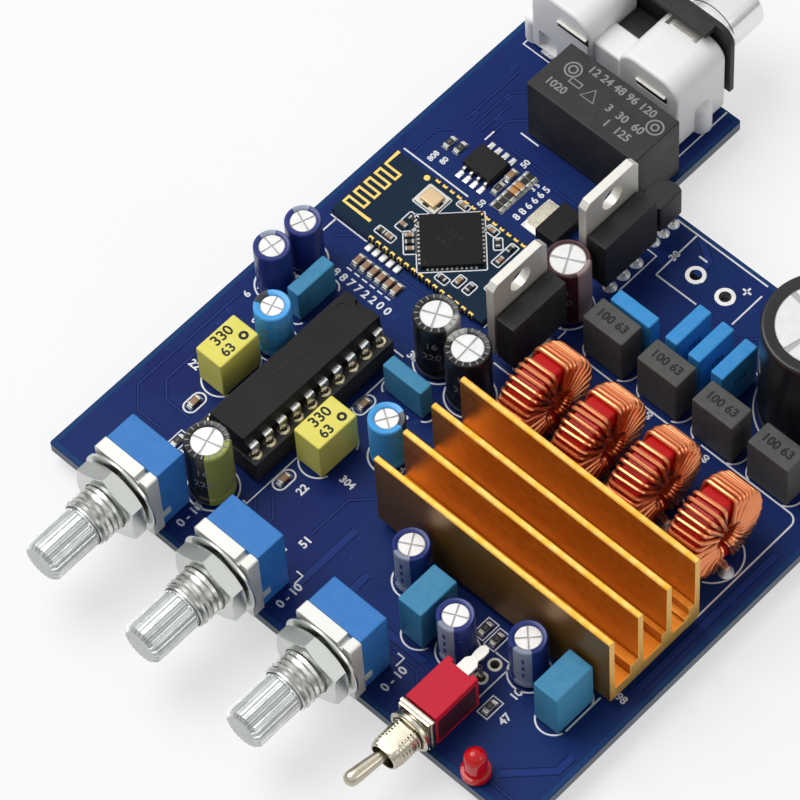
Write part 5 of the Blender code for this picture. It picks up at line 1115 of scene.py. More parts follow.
def electrolytic(title, tone, x, y, size, turn):
    """A can in its shrunk sleeve, with a scored top and a band down one side."""
    r, height, crimp = size
    large = size is MAIN_CAN
    disc = r * (0.77 if large or tone == "maroon" else 0.64 if tone == "light_blue" else 0.70)
    lip = min(0.5, r * 0.12)
    sunk = height - 0.34
    profile = [(0.0, sunk), (disc, sunk), (disc + 0.02, height - 0.20),
               (disc + lip * 0.5, height - 0.10), (r - lip * 1.2, height - 0.02),
               (r - lip * 0.7, height), (r - lip * 0.3, height - lip * 0.25),
               (r - lip * 0.06, height - lip * 0.8), (r, height - lip * 1.6),
               (r, crimp + 0.95), (r - 0.06, crimp + 0.75), (r - 0.24, crimp + 0.45),
               (r - 0.26, crimp + 0.30), (r - 0.06, crimp), (r, crimp - 0.2), (r, 0.45),
               (r - 0.12, 0.15), (r - 0.35, 0.0), (r * 0.6, 0.05), (0.0, 0.05)]
    bm = lathe(profile, 72 if large else 48)
    half_band = 24.0 if large else 50.0 if tone == "olive" else 30.0
    for face in bm.faces:
        middle = face.calc_center_median()
        reach = math.hypot(middle.x, middle.y)
        angle = (math.degrees(math.atan2(middle.y, middle.x)) - turn + 180) % 360 - 180
        if middle.z > sunk - 0.02 and reach < disc + 0.005:
            face.material_index = 1
        elif middle.z < 0.06:
            face.material_index = 3
        elif abs(angle) < half_band:
            face.material_index = 2
    work = Work()
    stand = shift(x, y, 0.3)
    work.put(bm, SLEEVES[tone], SCORE, BANDS[tone], BLACK, matrix=stand)
    gap = disc * (0.015 if large else 0.04)
    for i in range(4):
        quarter = [(gap, gap)] + [p for p in arc((0.0, 0.0), disc - 0.06, 4, 86, 8)
                                  if min(p) > gap]
        work.put(plate(quarter, 0.13, 0.04, 1), ALUMINIUM,
                 matrix=stand @ shift(z=height - 0.37) @ spin(90 * i + turn + 20))
    pale = PRINT_GREY if tone == "light_blue" else BANDS[tone]
    if large:
        for i in range(5):
            bar = box((r - 0.05, -0.35, 3.2 + 3.2 * i), (r + 0.03, 0.35, 4.8 + 3.2 * i))
            work.put(bar, SLEEVES[tone], matrix=stand @ spin(turn))
        for angle, digits, level in ((-35, "35", 12.6), (-35, "1000", 8.8), (-140, "105", 12.0)):
            wrapped(work, digits, 3.2, r, (x, y, level), angle, BANDS["black"])
    elif size is TALL_CAN:
        for i in range(0 if tone == "maroon" else 18):
            rib = box((disc + 0.14, -0.09, height - 0.25), (r - 0.22, 0.09, height + 0.04))
            work.put(rib, PRINT_GREY, matrix=stand @ spin(20 * i))
        for angle, digits, level in ((-62, "16", 8.2), (-62, "220", 5.6), (100, "220", 6.5)):
            wrapped(work, digits, 1.8, r, (x, y, level), angle, PRINT_GREY)
    else:
        wrapped(work, "10", 1.5, r, (x, y, 6.2), turn + 100, pale)
        wrapped(work, "25", 1.5, r, (x, y, 4.3), turn + 100, pale)
        for i in range(3):
            bar = box((r - 0.05, -0.18, 2.9 + 1.7 * i), (r + 0.02, 0.18, 3.8 + 1.7 * i))
            work.put(bar, SLEEVES[tone], matrix=stand @ spin(turn))
    reach = MAIN_CAN_LEAD if large else CAN_LEAD
    leads(work, [(x - reach, y), (x + reach, y)], high=0.5)
    work.settle(title + "_can", tone + "_sleeve", title)


# Tone and volume controls

def knurled_shaft(x):
    """Round journal, then twenty-four fine splines with a chamfered end."""
    def ring(points, z):
        return [Vector((r * math.cos(a), r * math.sin(a), z)) for r, a in points]

    teeth = 24
    step = 2 * math.pi / teeth
    root, crest, journal, chamfer = 2.78, 3.0, 2.94, 0.45
    shape, flat, tip = [], [], []
    for i in range(teeth):
        for share, radius in ((0.0, root), (0.16, root), (0.34, crest), (0.66, crest),
                              (0.84, root)):
            angle = step * (i + share)
            shape.append((radius, angle))
            flat.append((journal, angle))
            tip.append((radius - chamfer, angle))
    rings = [ring(flat, -1.6), ring(flat, 7.5), ring(shape, 7.62), ring(shape, 14.3),
             ring(tip, 14.8)]
    work = Work()
    work.put(lofted(rings), SHAFT, matrix=shift(x, PLATE_FRONT, CONTROL_AXIS) @ TO_FRONT)
    return work


def control(side, x):
    """One rotary control: resin body, cast plate with its threaded bush, washer, nut, shaft."""
    prefix = "control_" + side
    work = Work()
    shell = box((x - 4.5, 1.15, 0.3), (x + 4.5, 5.9, 12.0), 0.22, 3)
    work.put(shell, CONTROL_BLUE)
    work.put(box((x - 3.9, 5.88, 1.2), (x + 3.9, 6.02, 11.0), 0.12, 2), CONTROL_BLUE)
    for i in (-1, 0, 1):
        work.put(box((x + i * 2.5 - 0.4, 5.2, 0.05), (x + i * 2.5 + 0.4, 5.7, 0.6), 0.1, 1), TIN)
    work.settle(prefix + "_resin_body", "control_blue", prefix + "_body")

    work = Work()
    half, low, top, c = 4.7, -6.4, 5.3, 0.3
    outline = ([(-half, low), (half, low)] + arc((half - c, top - c), c, 0, 90, 3)
               + [(half - 1.5, top), (half - 1.5, top - 0.8), (half - 2.3, top - 0.8),
                  (half - 2.3, top)]
               + arc((c - half, top - c), c, 90, 180, 3))
    stand = shift(x, PLATE_FRONT, CONTROL_AXIS) @ TO_FRONT
    work.put(plate(outline, 1.95, 0.05, 1), ZINC, matrix=stand @ shift(z=-1.95))
    for way in (-1, 1):
        inner, outer = 4.48 * way, 4.70 * way
        work.put(box((x + min(inner, outer), 0.9, 2.4), (x + max(inner, outer), 2.5, 3.5), 0.06),
                 ZINC)
    boss = lathe([(4.6, 0.32), (4.75, 0.2), (4.75, -0.2), (3.15, -0.2), (3.15, 0.32)], 36,
                 ring=True)
    work.put(boss, ZINC, matrix=stand)
    bush = [(3.08, 7.2), (3.25, 7.2), (3.34, 6.95), (3.20, 6.7), (3.20, 0.9), (3.5, 0.7),
            (3.5, 0.0), (3.08, 0.0)]
    work.put(lathe(bush, 40, ring=True), BUSH, matrix=stand)
    work.take(threaded(3.17, 5.75, 0.75, 0.33, 0.95, BUSH), [BUSH], stand)
    work.settle(prefix + "_plate_and_bush", "zinc", prefix + "_bush")

    work = Work()
    stand = shift(x, PLATE_FRONT - 0.35, CONTROL_AXIS) @ TO_FRONT
    washer = lathe([(3.62, 0.45), (5.95, 0.45), (6.08, 0.36), (6.08, 0.08), (5.95, 0.0),
                    (3.62, 0.0)], 48, ring=True)
    work.put(washer, STEEL, matrix=stand)
    work.settle(prefix + "_flat_washer", "plated_steel", prefix + "_washer")

    work = Work()
    stand = shift(x, PLATE_FRONT - 1.1, CONTROL_AXIS) @ TO_FRONT
    work.put(carved(hexagon(10.0, 2.3), [post(3.55, 3.0, -1.0, 36)]), STEEL, matrix=stand)
    work.settle(prefix + "_hexagon_nut", "plated_steel", prefix + "_nut", angle=25.0)

    knurled_shaft(x).settle(prefix + "_knurled_shaft", "plated_steel", prefix + "_shaft",
                            body=side + "_shaft", angle=24.0)


def hexagon(flats, height):
    """A hexagon blank whose corners are turned down to a chamfer at both ends."""
    corner = flats / math.sqrt(3.0)
    blank = moved(post(corner, height, 0.0, 6), spin(30))
    ring = [(corner + 2.0, height + 1.0), (corner + 2.0, -1.0), (flats / 2 + 0.05, -1.0),
            (flats / 2 + 0.05, 0.0), (corner + 0.05, 0.30), (corner + 0.05, height - 0.30),
            (flats / 2 + 0.05, height), (flats / 2 + 0.05, height + 1.0)]
    return carved(blank, [lathe(ring, 48, ring=True)])


# Lever switch

def lever_switch():
    """Red case with its blade and lugs, plated frame with its bush, ring, and bat lever."""
    x = SWITCH_X
    work = Work()
    case = carved(box((x - 2.55, 1.5, 0.3), (x + 2.55, 9.2, 6.8), 0.14, 3),
                  [box((x - 1.6, 8.7, 5.5), (x + 1.6, 10.0, 7.5))])
    work.put(case, SWITCH_RED)
    # Dark red panels over both sides and the back of the red case: painted shade.
    work.put(box((x + 2.50, 1.8, 1.0), (x + 2.62, 8.6, 5.7), 0.05, 1), SWITCH_SHADE_AND_CUP)
    work.put(box((x - 2.62, 1.8, 1.0), (x - 2.50, 8.6, 5.7), 0.05, 1), SWITCH_SHADE_AND_CUP)
    work.put(box((x - 2.35, 9.1, 0.6), (x + 2.35, 9.28, 5.2), 0.06, 1), SWITCH_SHADE_AND_CUP)
    blade = [(-1.05, -0.4), (1.05, -0.4), (1.05, 1.5), (0.60, 2.1), (0.75, 3.0), (0.70, 3.9),
             (0.35, 4.4), (-0.35, 4.4), (-0.70, 3.9), (-0.75, 3.0), (-0.60, 2.1), (-1.05, 1.5)]
    work.put(plate(blade, 0.4, 0.06, 2), TAB_METAL, matrix=shift(x, 9.1, 5.8))
    for level in (3.6, 1.6):
        work.put(box((x - 0.5, 8.9, level), (x + 0.5, 10.75, level + 0.45), 0.1, 2), NICKEL)
    wired(work, [[(x, 10.5, 3.8), (x, 12.1, 3.4), (x, 12.1, -0.6)]], NICKEL, 0.30, 10, 0.9)
    wired(work, [[(x, 10.5, 1.8), (x, 10.9, 1.2), (x, 10.9, 0.1)]], NICKEL, 0.30, 10, 0.4)
    work.settle("switch_case", "switch_red", "switch_body")

    work = Work()
    stand = shift(x, 0.2, SWITCH_AXIS) @ TO_FRONT
    half, low, high = 2.75, -3.1, 3.4
    face = [(-half, low), (half, low), (half, high), (-half, high)]
    work.put(plate(face, 0.55, 0.12, 2), NICKEL, matrix=stand @ shift(z=-1.0))
    work.put(plate([(p[0] * 0.93, p[1] * 0.95) for p in face], 0.5, 0.1, 2), NICKEL,
             matrix=stand @ shift(z=-0.5))
    bush = lathe([(1.80, 5.6), (2.0, 5.6), (2.18, 5.3), (2.30, 4.2), (2.30, 0.7), (2.5, 0.5),
                  (2.5, -0.2), (1.75, -0.2), (1.75, 2.6)], 36, ring=True)
    ridge = threaded(2.24, 3.9, 0.5, 0.14, 0.8, NICKEL)
    flat = box((-3.0, 1.88, 0.85), (3.0, 4.0, 6.5))
    work.put(carved(bush, [flat.copy()]), NICKEL, matrix=stand)
    work.put(carved(welded(ridge), [flat]), NICKEL, matrix=stand)
    work.settle("switch_frame_and_bush", "nickel", "switch_frame")

    work = Work()
    ring = lathe([(2.62, 0.75), (3.0, 0.75), (3.15, 0.6), (3.15, 0.15), (3.0, 0.0), (2.62, 0.0)],
                 36, ring=True)
    work.put(ring, NICKEL, matrix=shift(x, -0.1, SWITCH_AXIS) @ TO_FRONT)
    work.settle("switch_locating_ring", "nickel", "switch_ring")

    work = Work()
    profile = [(0.0, 8.5), (0.35, 8.46), (0.68, 8.30), (0.92, 8.02), (1.04, 7.65), (1.05, 7.2),
               (1.02, 6.2), (0.85, 3.2), (0.84, 1.1), (1.0, 0.8), (1.28, 0.45), (1.35, 0.0),
               (1.28, -0.45), (1.0, -0.9), (0.6, -1.1), (0.0, -1.2)]
    turn = shift(x, -2.6, SWITCH_AXIS) @ spin(-6.5) @ TO_FRONT
    work.put(lathe(profile, 28), NICKEL, matrix=turn)
    work.settle("switch_bat_lever", "nickel", "switch_lever", body="lever")


def indicator():
    """Round red lamp: domed resin body with its flange and a dark cup inside."""
    work = Work()
    dome = [(r, z + 3.7) for r, z in arc((0.0, 0.0), 1.5, 90, 0, 10)]
    dome[0] = (0.0, 5.2)
    profile = dome + [(1.5, 1.05), (1.92, 0.95), (1.95, 0.85), (1.95, 0.1), (1.85, 0.0),
                      (0.0, 0.0)]
    x, y = LAMP_PLACE
    work.put(lathe(profile, 36), LAMP, matrix=shift(x, y, 0.3))
    cup = lathe([(0.0, 2.2), (0.35, 2.25), (0.75, 2.9), (0.85, 2.9), (0.6, 1.4), (0.25, 1.2),
                 (0.0, 1.2)], 16)
    work.put(cup, SWITCH_SHADE_AND_CUP, matrix=shift(x - 0.3, y, 0.3))
    leads(work, [(x - LAMP_LEAD, y), (x + LAMP_LEAD, y)], 0.25, 0.5)
    work.settle("indicator_dome", "lamp_red", "indicator_lamp")


# Relay

def relay_case():
    """Moulded box with plain printed numbers and shapes on its top."""
    work = Work()
    x0, y0, x1, y1 = RELAY
    top = RELAY_TOP
    work.put(box((x0, y0, 0.3), (x1, y1, top), 0.24, 3), BLACK)
    work.put(box((x0 + 0.05, y0 - 0.02, 0.3), (x1 - 0.05, y1 + 0.02, 1.1), 0.05, 1), BLACK)
    for digits, x, y, size in (("12 24 48 96 120", 23.4, 84.0, 1.75), ("1020", 16.2, 79.0, 1.7),
                               ("3  30  60", 26.6, 80.9, 1.75), ("1  125", 27.0, 78.9, 1.75)):
        numeral(work, digits, (x, y, top), size, PRINT_GREY, bold=0.04)
    rings = [circle(16.2, 82.4, 1.15, steps=20), circle(16.2, 82.4, 0.6, steps=16),
             circle(30.4, 82.6, 1.15, steps=20), circle(30.4, 82.6, 0.5, steps=16),
             [(19.6, 80.0), (21.8, 80.0), (20.7, 81.9), (19.6, 80.0)],
             [(17.0, 80.6), (18.8, 80.6), (18.8, 81.4), (17.0, 81.4), (17.0, 80.6)]]
    stripped(work, [raised(line, top + 0.004) for line in rings], PRINT_GREY, 0.24, 0.012)
    work.settle("relay_case", "black", "relay")


# Line input

SHELLS = ((3.4, 13.9, 9.4), (19.0, 29.5, 23.4))


def arch(half, low, high, radius):
    """Outline of a wall whose two upper corners are round."""
    return ([(-half, low), (half, low)] + arc((half - radius, high - radius), radius, 0, 90, 9)
            + arc((radius - half, high - radius), radius, 90, 180, 9))


def line_input():
    """Twin white shells on a web, contact strips, black back plate, and two sockets."""
    work = Work()
    depth = JACK_BACK - JACK_FRONT
    for x0, x1, x in SHELLS:
        half = (x1 - x0) / 2
        middle = (x0 + x1) / 2
        shell = moved(plate(arch(half, 0.3, 13.4, 3.0), depth, 0.55, 4),
                      shift(middle, JACK_BACK) @ TO_FRONT)
        cuts = [box((x - 1.1, JACK_FRONT - 1.0, 8.5), (x + 4.3, JACK_FRONT + 2.0, 10.2)),
                box((x - 2.8, JACK_BACK - 2.4, 11.0), (x + 2.8, JACK_BACK + 1.0, 16.0)),
                box((x - 4.6, JACK_FRONT - 1.0, 1.0), (x - 1.4, JACK_FRONT + 0.9, 4.6))]
        work.put(carved(shell, cuts), CASE_WHITE)
        # Black block flush in the slot under each contact strip: painted shade inside the slot.
        work.put(box((x - 1.05, JACK_FRONT + 0.1, 8.55), (x + 4.25, JACK_FRONT + 1.9, 10.1)),
                 BLACK)
        work.put(box((x - 1.0, JACK_FRONT - 0.40, 9.95), (x + 4.20, JACK_FRONT + 1.8, 10.25),
                     0.1, 2), TAB_METAL)
        work.put(plate(arch(2.6, 11.0, 13.1, 1.0), 2.0, 0.15, 2), TAB_METAL,
                 matrix=shift(x, JACK_BACK - 0.2) @ TO_FRONT)
        work.put(box((x - 4.1, JACK_FRONT - 0.35, 0.1), (x - 1.9, JACK_FRONT + 0.9, 0.6), 0.1, 1),
                 TIN)
    work.put(box((13.4, JACK_FRONT + 0.9, 0.3), (19.5, JACK_FRONT + 5.4, 9.4), 0.5, 3), CASE_WHITE)
    work.put(box((14.2, JACK_FRONT + 5.2, 0.4), (18.7, JACK_BACK - 0.3, 8.6)), BLACK)
    for x, y in ((3.0, 89.3), (29.3, 93.0)):
        work.put(lathe([(0.0, 5.4), (0.9, 5.3), (1.35, 4.9), (1.5, 4.4), (1.5, 0.3), (1.3, 0.0),
                        (0.0, 0.0)], 24), CASE_WHITE, matrix=shift(x, y, 0.05))
    work.settle("line_input_shells", "white", "input_housing")

    work = Work()
    y = JACK_BACK + 0.3
    sheet = plate(arch(13.5, 3.0, 15.6, 2.6), 0.9, 0.12, 2)
    work.put(sheet, BLACK, matrix=shift(16.4, y + 0.9) @ TO_FRONT)
    work.put(box((5.5, y - 2.1, 14.7), (27.3, y + 0.3, 15.6), 0.15, 2), BLACK)
    for x in (4.6, 28.2):
        work.put(lathe([(0.0, 0.35), (0.5, 0.3), (0.7, 0.1), (0.7, -0.2), (0.0, -0.2)], 16),
                 BLACK, matrix=shift(x, y + 0.9, 12.2) @ TO_BACK)
    work.settle("line_input_back_plate", "black", "input_back_plate")

    for side, x in JACKS.items():
        stand = shift(x, JACK_BACK + 1.5, 8.4) @ TO_BACK
        sleeve = [(3.75, 8.3), (3.85, 8.4), (4.0, 8.35), (4.15, 8.1), (4.15, 2.6), (4.05, 2.5),
                  (4.05, 2.2), (4.15, 2.1), (4.15, 0.75), (4.3, 0.6), (4.65, 0.55), (4.75, 0.45),
                  (4.75, 0.05), (3.75, 0.0)]
        work = Work()
        work.put(lathe(sleeve, 48, ring=True), CHROME, matrix=stand)
        work.settle("input_" + side + "_screen_sleeve", "plated_steel", "input_" + side + "_sleeve")
        work = Work()
        filler = [(2.2, 5.0), (2.8, 5.0), (3.1, 4.9), (3.2, 4.7), (3.2, 1.3), (3.45, 1.0),
                  (3.45, 0.0), (2.2, 0.0)]
        work.put(lathe(filler, 36, ring=True), CASE_WHITE, matrix=stand)
        work.settle("input_" + side + "_insulating_bush", "white", "input_" + side + "_insulator")
        work = Work()
        pin = [(0.0, 0.6), (1.5, 0.6), (1.6, 0.8), (1.6, 7.0), (1.7, 7.2), (1.85, 7.15),
               (1.9, 7.0), (1.9, 0.0), (0.0, 0.0)]
        barrel = carved(lathe(pin, 32), [box((-0.15, -3.0, 3.0), (0.15, 3.0, 8.0))])
        work.put(barrel, BRASS, matrix=stand)
        work.settle("input_" + side + "_centre_contact", "brass", "input_" + side + "_contact")


# Regulators and the small transistor

REGULATORS = {"front": (34.1, 51.5), "back": (34.4, 68.5)}


def standing_regulator(place, x, y):
    """Metal tab with its hole, moulding in front of it, and three legs."""
    half, low, high, top = 5.0, 3.9, 12.9, 19.2
    work = Work()
    outline = [(-half, low), (half, low), (half, top - 0.9), (half - 0.9, top), (0.9 - half, top),
               (-half, top - 0.9)]
    hole = moved(post(1.85, 3.0, -1.0, 32), shift(y=16.05))
    tab = carved(plate(outline, 1.3, 0.08, 2), [hole])
    work.put(tab, TAB_METAL, matrix=shift(x, y) @ TO_RIGHT)
    work.settle("regulator_" + place + "_metal_tab", "nickel", "regulator_" + place + "_tab")
    work = Work()
    face = x + 1.6
    work.put(box((face, y - half, low), (face + 3.0, y + half, high), 0.18, 3), BLACK)
    dimple = lathe([(0.9, 0.03), (1.0, 0.03), (1.05, 0.0), (0.85, 0.0)], 24, ring=True)
    work.put(dimple, BLACK, matrix=shift(face + 3.0, y - 3.0, 11.2) @ spin(90, "Y"))
    work.put(box((face + 0.9, y - half + 0.3, high - 0.05), (face + 1.1, y + half - 0.3,
                                                             high + 0.03)), BLACK)
    for i in (-1, 0, 1):
        leg_y = y + i * PIN_PITCH
        work.put(box((face + 1.25, leg_y - 0.65, 2.6), (face + 1.75, leg_y + 0.65, 4.1), 0.08), TIN)
        work.put(box((face + 1.25, leg_y - 0.40, -0.3), (face + 1.75, leg_y + 0.40, 2.8), 0.06),
                 TIN)
        work.put(lathe([(0.0, 0.75), (0.45, 0.7), (0.62, 0.35), (0.95, 0.08), (1.0, 0.0),
                        (0.0, 0.0)], 16), BEAD, matrix=shift(face + 1.5, leg_y, 0.02))
    work.settle("regulator_" + place + "_moulding", "black", "regulator_" + place + "_case")


def three_leg_transistor():
    """Half-round moulding held above the board on three bent legs."""
    work = Work()
    x, y, r = 37.1, 76.9, 2.45
    face = math.degrees(math.acos(1.3 / r))
    outline = arc((0.0, 0.0), r, face, 360 - face, 22)
    work.put(plate(outline, 5.2, 0.22, 3), BLACK, matrix=shift(x, y, 3.8))
    for i in (-1, 0, 1):
        lean = i * 1.3
        wired(work, [[(x, y + lean, 4.2), (x, y + lean, 2.8), (x, y + i * 1.9, 1.4),
                      (x, y + i * 1.9, -0.3)]], TIN, 0.26, 8, 0.6)
        work.put(lathe([(0.0, 0.6), (0.36, 0.55), (0.5, 0.3), (0.82, 0.06), (0.85, 0.0),
                        (0.0, 0.0)], 14), BEAD, matrix=shift(x, y + i * 1.9, 0.02))
    work.settle("transistor_moulding", "black", "transistor")


# Flat parts soldered to the board's face

CHIP_ROW = [(10.3 + 1.38 * i, 46.9, 0) for i in range(6)]
CHIP_LOOSE = [(9.7, 16.9, 0), (26.4, 16.3, 0), (26.2, 31.3, 0), (16.0, 70.2, 0),
              (18.1, 68.50, 90), (18.1, 69.55, 90)]
CLUSTER = [(18.1, 65.35 + 1.05 * i, 90) for i in (0, 1, 2, 5, 6)]
RESISTOR_PAIR = [(6.3, 68.7, 0), (7.9, 69.0, 0), (16.1, 67.6, 0)]
RESISTOR_LOOSE = [(12.2, 11.3, 0), (33.0, 7.6, 0), (68.4, 9.8, 0), (60.4, 17.6, 0), (62.5, 17.4, 0)]
CHIP_FRAMES = [place[:2] for place in RESISTOR_LOOSE]
ROUND_CHIP_FRAMES = [place[:2] for place in CHIP_LOOSE[:3]]
# Digits, place, size and turn of each printed number
SILK_NUMBERS = [
    ("47", 9.5, 8.9, 1.7, 90), ("51", 34.9, 11.5, 1.7, 90), ("22", 13.6, 14.4, 1.6, 90),
    ("47", 70.9, 9.8, 1.6, 90), ("10", 69.6, 13.3, 1.6, 90), ("1", 63.8, 18.6, 1.5, 90),
    ("0 - 10", 21.1, 4.5, 1.7, 90), ("0 - 10", 38.8, 4.5, 1.7, 90), ("0 - 10", 56.8, 4.7, 1.7, 90),
    ("8 8 7 7 2 2 0 0", 13.9, 43.7, 1.7, 0), ("35", 25.8, 40.9, 1.6, 0),
    ("8 8 6 6 6 5", 21.0, 68.8, 1.5, 90), ("3 5", 19.6, 71.0, 1.1, 90),
    ("50", 16.1, 72.9, 1.3, 90), ("50", 16.1, 64.4, 1.2, 90), ("808", 6.1, 65.7, 1.2, 90),
    ("80", 7.7, 66.1, 1.2, 90), ("60", 54.5, 54.6, 1.2, 90), ("60", 64.2, 54.6, 1.2, 90),
    ("49", 64.2, 60.6, 1.7, 0), ("30", 40.6, 75.2, 1.5, 90), ("22", 29.2, 16.8, 1.6, 90),
    ("304", 32.7, 21.4, 1.5, 0), ("6", 3.0, 33.4, 1.5, 90), ("0", 6.6, 31.2, 1.5, 0),
    ("22", 5.6, 21.0, 1.6, 0), ("3", 36.6, 27.0, 1.7, 0), ("3", 31.6, 33.2, 1.5, 0),
    ("220", 71.0, 79.2, 1.5, 0), ("16", 80.2, 63.0, 1.6, 90), ("7", 27.8, 74.2, 1.5, 0),
    ("98", 79.6, 21.6, 1.5, 0), ("9", 38.0, 37.0, 1.5, 0)]


def chip_parts():
    """Chip capacitors and resistors with tinned ends, on their soldered pads."""
    capacitors = CHIP_ROW + CHIP_LOOSE
    resistors = CLUSTER + RESISTOR_PAIR + RESISTOR_LOOSE

    def at(places, z=0.0):
        return [(x, y, z, turn) for x, y, turn in places]

    def ends(places, z, offset):
        found = []
        for x, y, turn in places:
            for side in (-1, 1):
                dx, dy = (0.0, offset * side) if turn == 0 else (offset * side, 0.0)
                found.append((x + dx, y + dy, z, turn))
        return found

    every = capacitors + resistors
    work = Work()
    repeated(work, slab((0, 0, 0), (0.98, 0.60, 0.05), 0.02, 1), ends(every, 0.0, 0.88), DULL_TIN)
    fillet = lofted([[Vector((-0.44, -0.22, 0)), Vector((0.44, -0.22, 0)), Vector((0.44, 0.22, 0)),
                      Vector((-0.44, 0.22, 0))],
                     [Vector((-0.38, -0.05, 0.24)), Vector((0.38, -0.05, 0.24)),
                      Vector((0.38, 0.05, 0.24)), Vector((-0.38, 0.05, 0.24))]])
    repeated(work, fillet, ends(every, 0.04, 0.93), TIN)
    repeated(work, slab((0, 0, 0), (0.90, 0.34, 0.60), 0.05, 2), ends(capacitors, 0.04, 0.70),
             DULL_TIN)
    repeated(work, slab((0, 0, 0), (0.90, 0.30, 0.40), 0.04, 2), ends(resistors, 0.04, 0.70),
             DULL_TIN)
    repeated(work, slab((0, 0, 0), (0.86, 1.16, 0.57), 0.05, 2), at(capacitors[:-2], 0.05), TAN)
    repeated(work, slab((0, 0, 0), (0.86, 1.16, 0.57), 0.05, 2), at(capacitors[-2:], 0.05),
             ORANGE_CHIP)
    repeated(work, slab((0, 0, 0), (0.88, 1.55, 0.33), 0.03, 1), at(resistors, 0.06), ALUMINA)
    repeated(work, slab((0, 0, 0), (0.82, 1.02, 0.08), 0.03, 1), at(resistors, 0.36), RESISTOR)
    for x, y, turn in RESISTOR_PAIR + RESISTOR_LOOSE:
        numeral(work, "47", (x, y, 0.44), 0.55, PRINT_GREY, 90 + turn, 0.01)
    work.settle("chip_capacitors_and_resistors", "black")


def small_chip():
    """Eight-legged chip on the board's face."""
    work = Work()
    work.put(box((10.2, 67.0, 0.22), (15.1, 70.9, 1.5), 0.12, 2), CHIP_BLACK)
    work.put(spot(0.25, 0.28, 0.02), CHIP_GREY, matrix=shift(10.9, 67.7, 1.49))
    leg = [(-0.2, 0.62), (0.32, 0.62), (0.45, 0.50), (0.62, 0.12), (1.15, 0.12), (1.15, -0.02),
           (0.50, -0.02), (0.40, 0.08), (0.26, 0.46), (-0.2, 0.46)]
    shape = moved(plate(leg, 0.42, 0.03, 1), shift(x=-0.21) @ TO_RIGHT)
    xs = [12.65 + PIN_PITCH / 2 * (i - 1.5) for i in range(4)]
    places = [(x, 70.9, 0.05, 0) for x in xs] + [(x, 67.0, 0.05, 180) for x in xs]
    repeated(work, shape, places, TIN)
    pads = [(x, 72.0, 0.0, 0) for x in xs] + [(x, 65.9, 0.0, 180) for x in xs]
    repeated(work, slab((0, 0, 0), (0.75, 1.2, 0.10), 0.04, 2), pads, BEAD)
    work.settle("eight_leg_chip", "black")


def flat_regulator():
    """Flat regulator: broad tab soldered on one side, two legs on the other."""
    work = Work()
    work.put(box((24.9, 65.2, 0.12), (28.3, 71.0, 2.0), 0.15, 2), CHIP_BLACK)
    tab = plate([(0, 0), (2.6, 0), (2.6, 4.7), (0, 4.7), (0, 4.3), (-0.35, 4.1), (-0.35, 0.6),
                 (0, 0.4)], 0.6, 0.08, 2)
    work.put(tab, NICKEL, matrix=shift(22.75, 65.75, 0.08))
    work.put(box((22.2, 65.3, 0.0), (24.9, 70.9, 0.10), 0.04, 1), TIN)
    for y in (65.8, 70.4):
        work.put(box((28.2, y - 0.4, 0.5), (29.2, y + 0.4, 0.95), 0.06), TIN)
        work.put(box((29.0, y - 0.4, 0.05), (30.2, y + 0.4, 0.35), 0.06), TIN)
        work.put(box((28.95, y - 0.4, 0.2), (29.3, y + 0.4, 0.95), 0.06), TIN)
        work.put(box((28.7, y - 0.7, 0.0), (30.7, y + 0.7, 0.08), 0.03, 1), TIN)
    work.settle("flat_regulator", "black")


# Wireless module

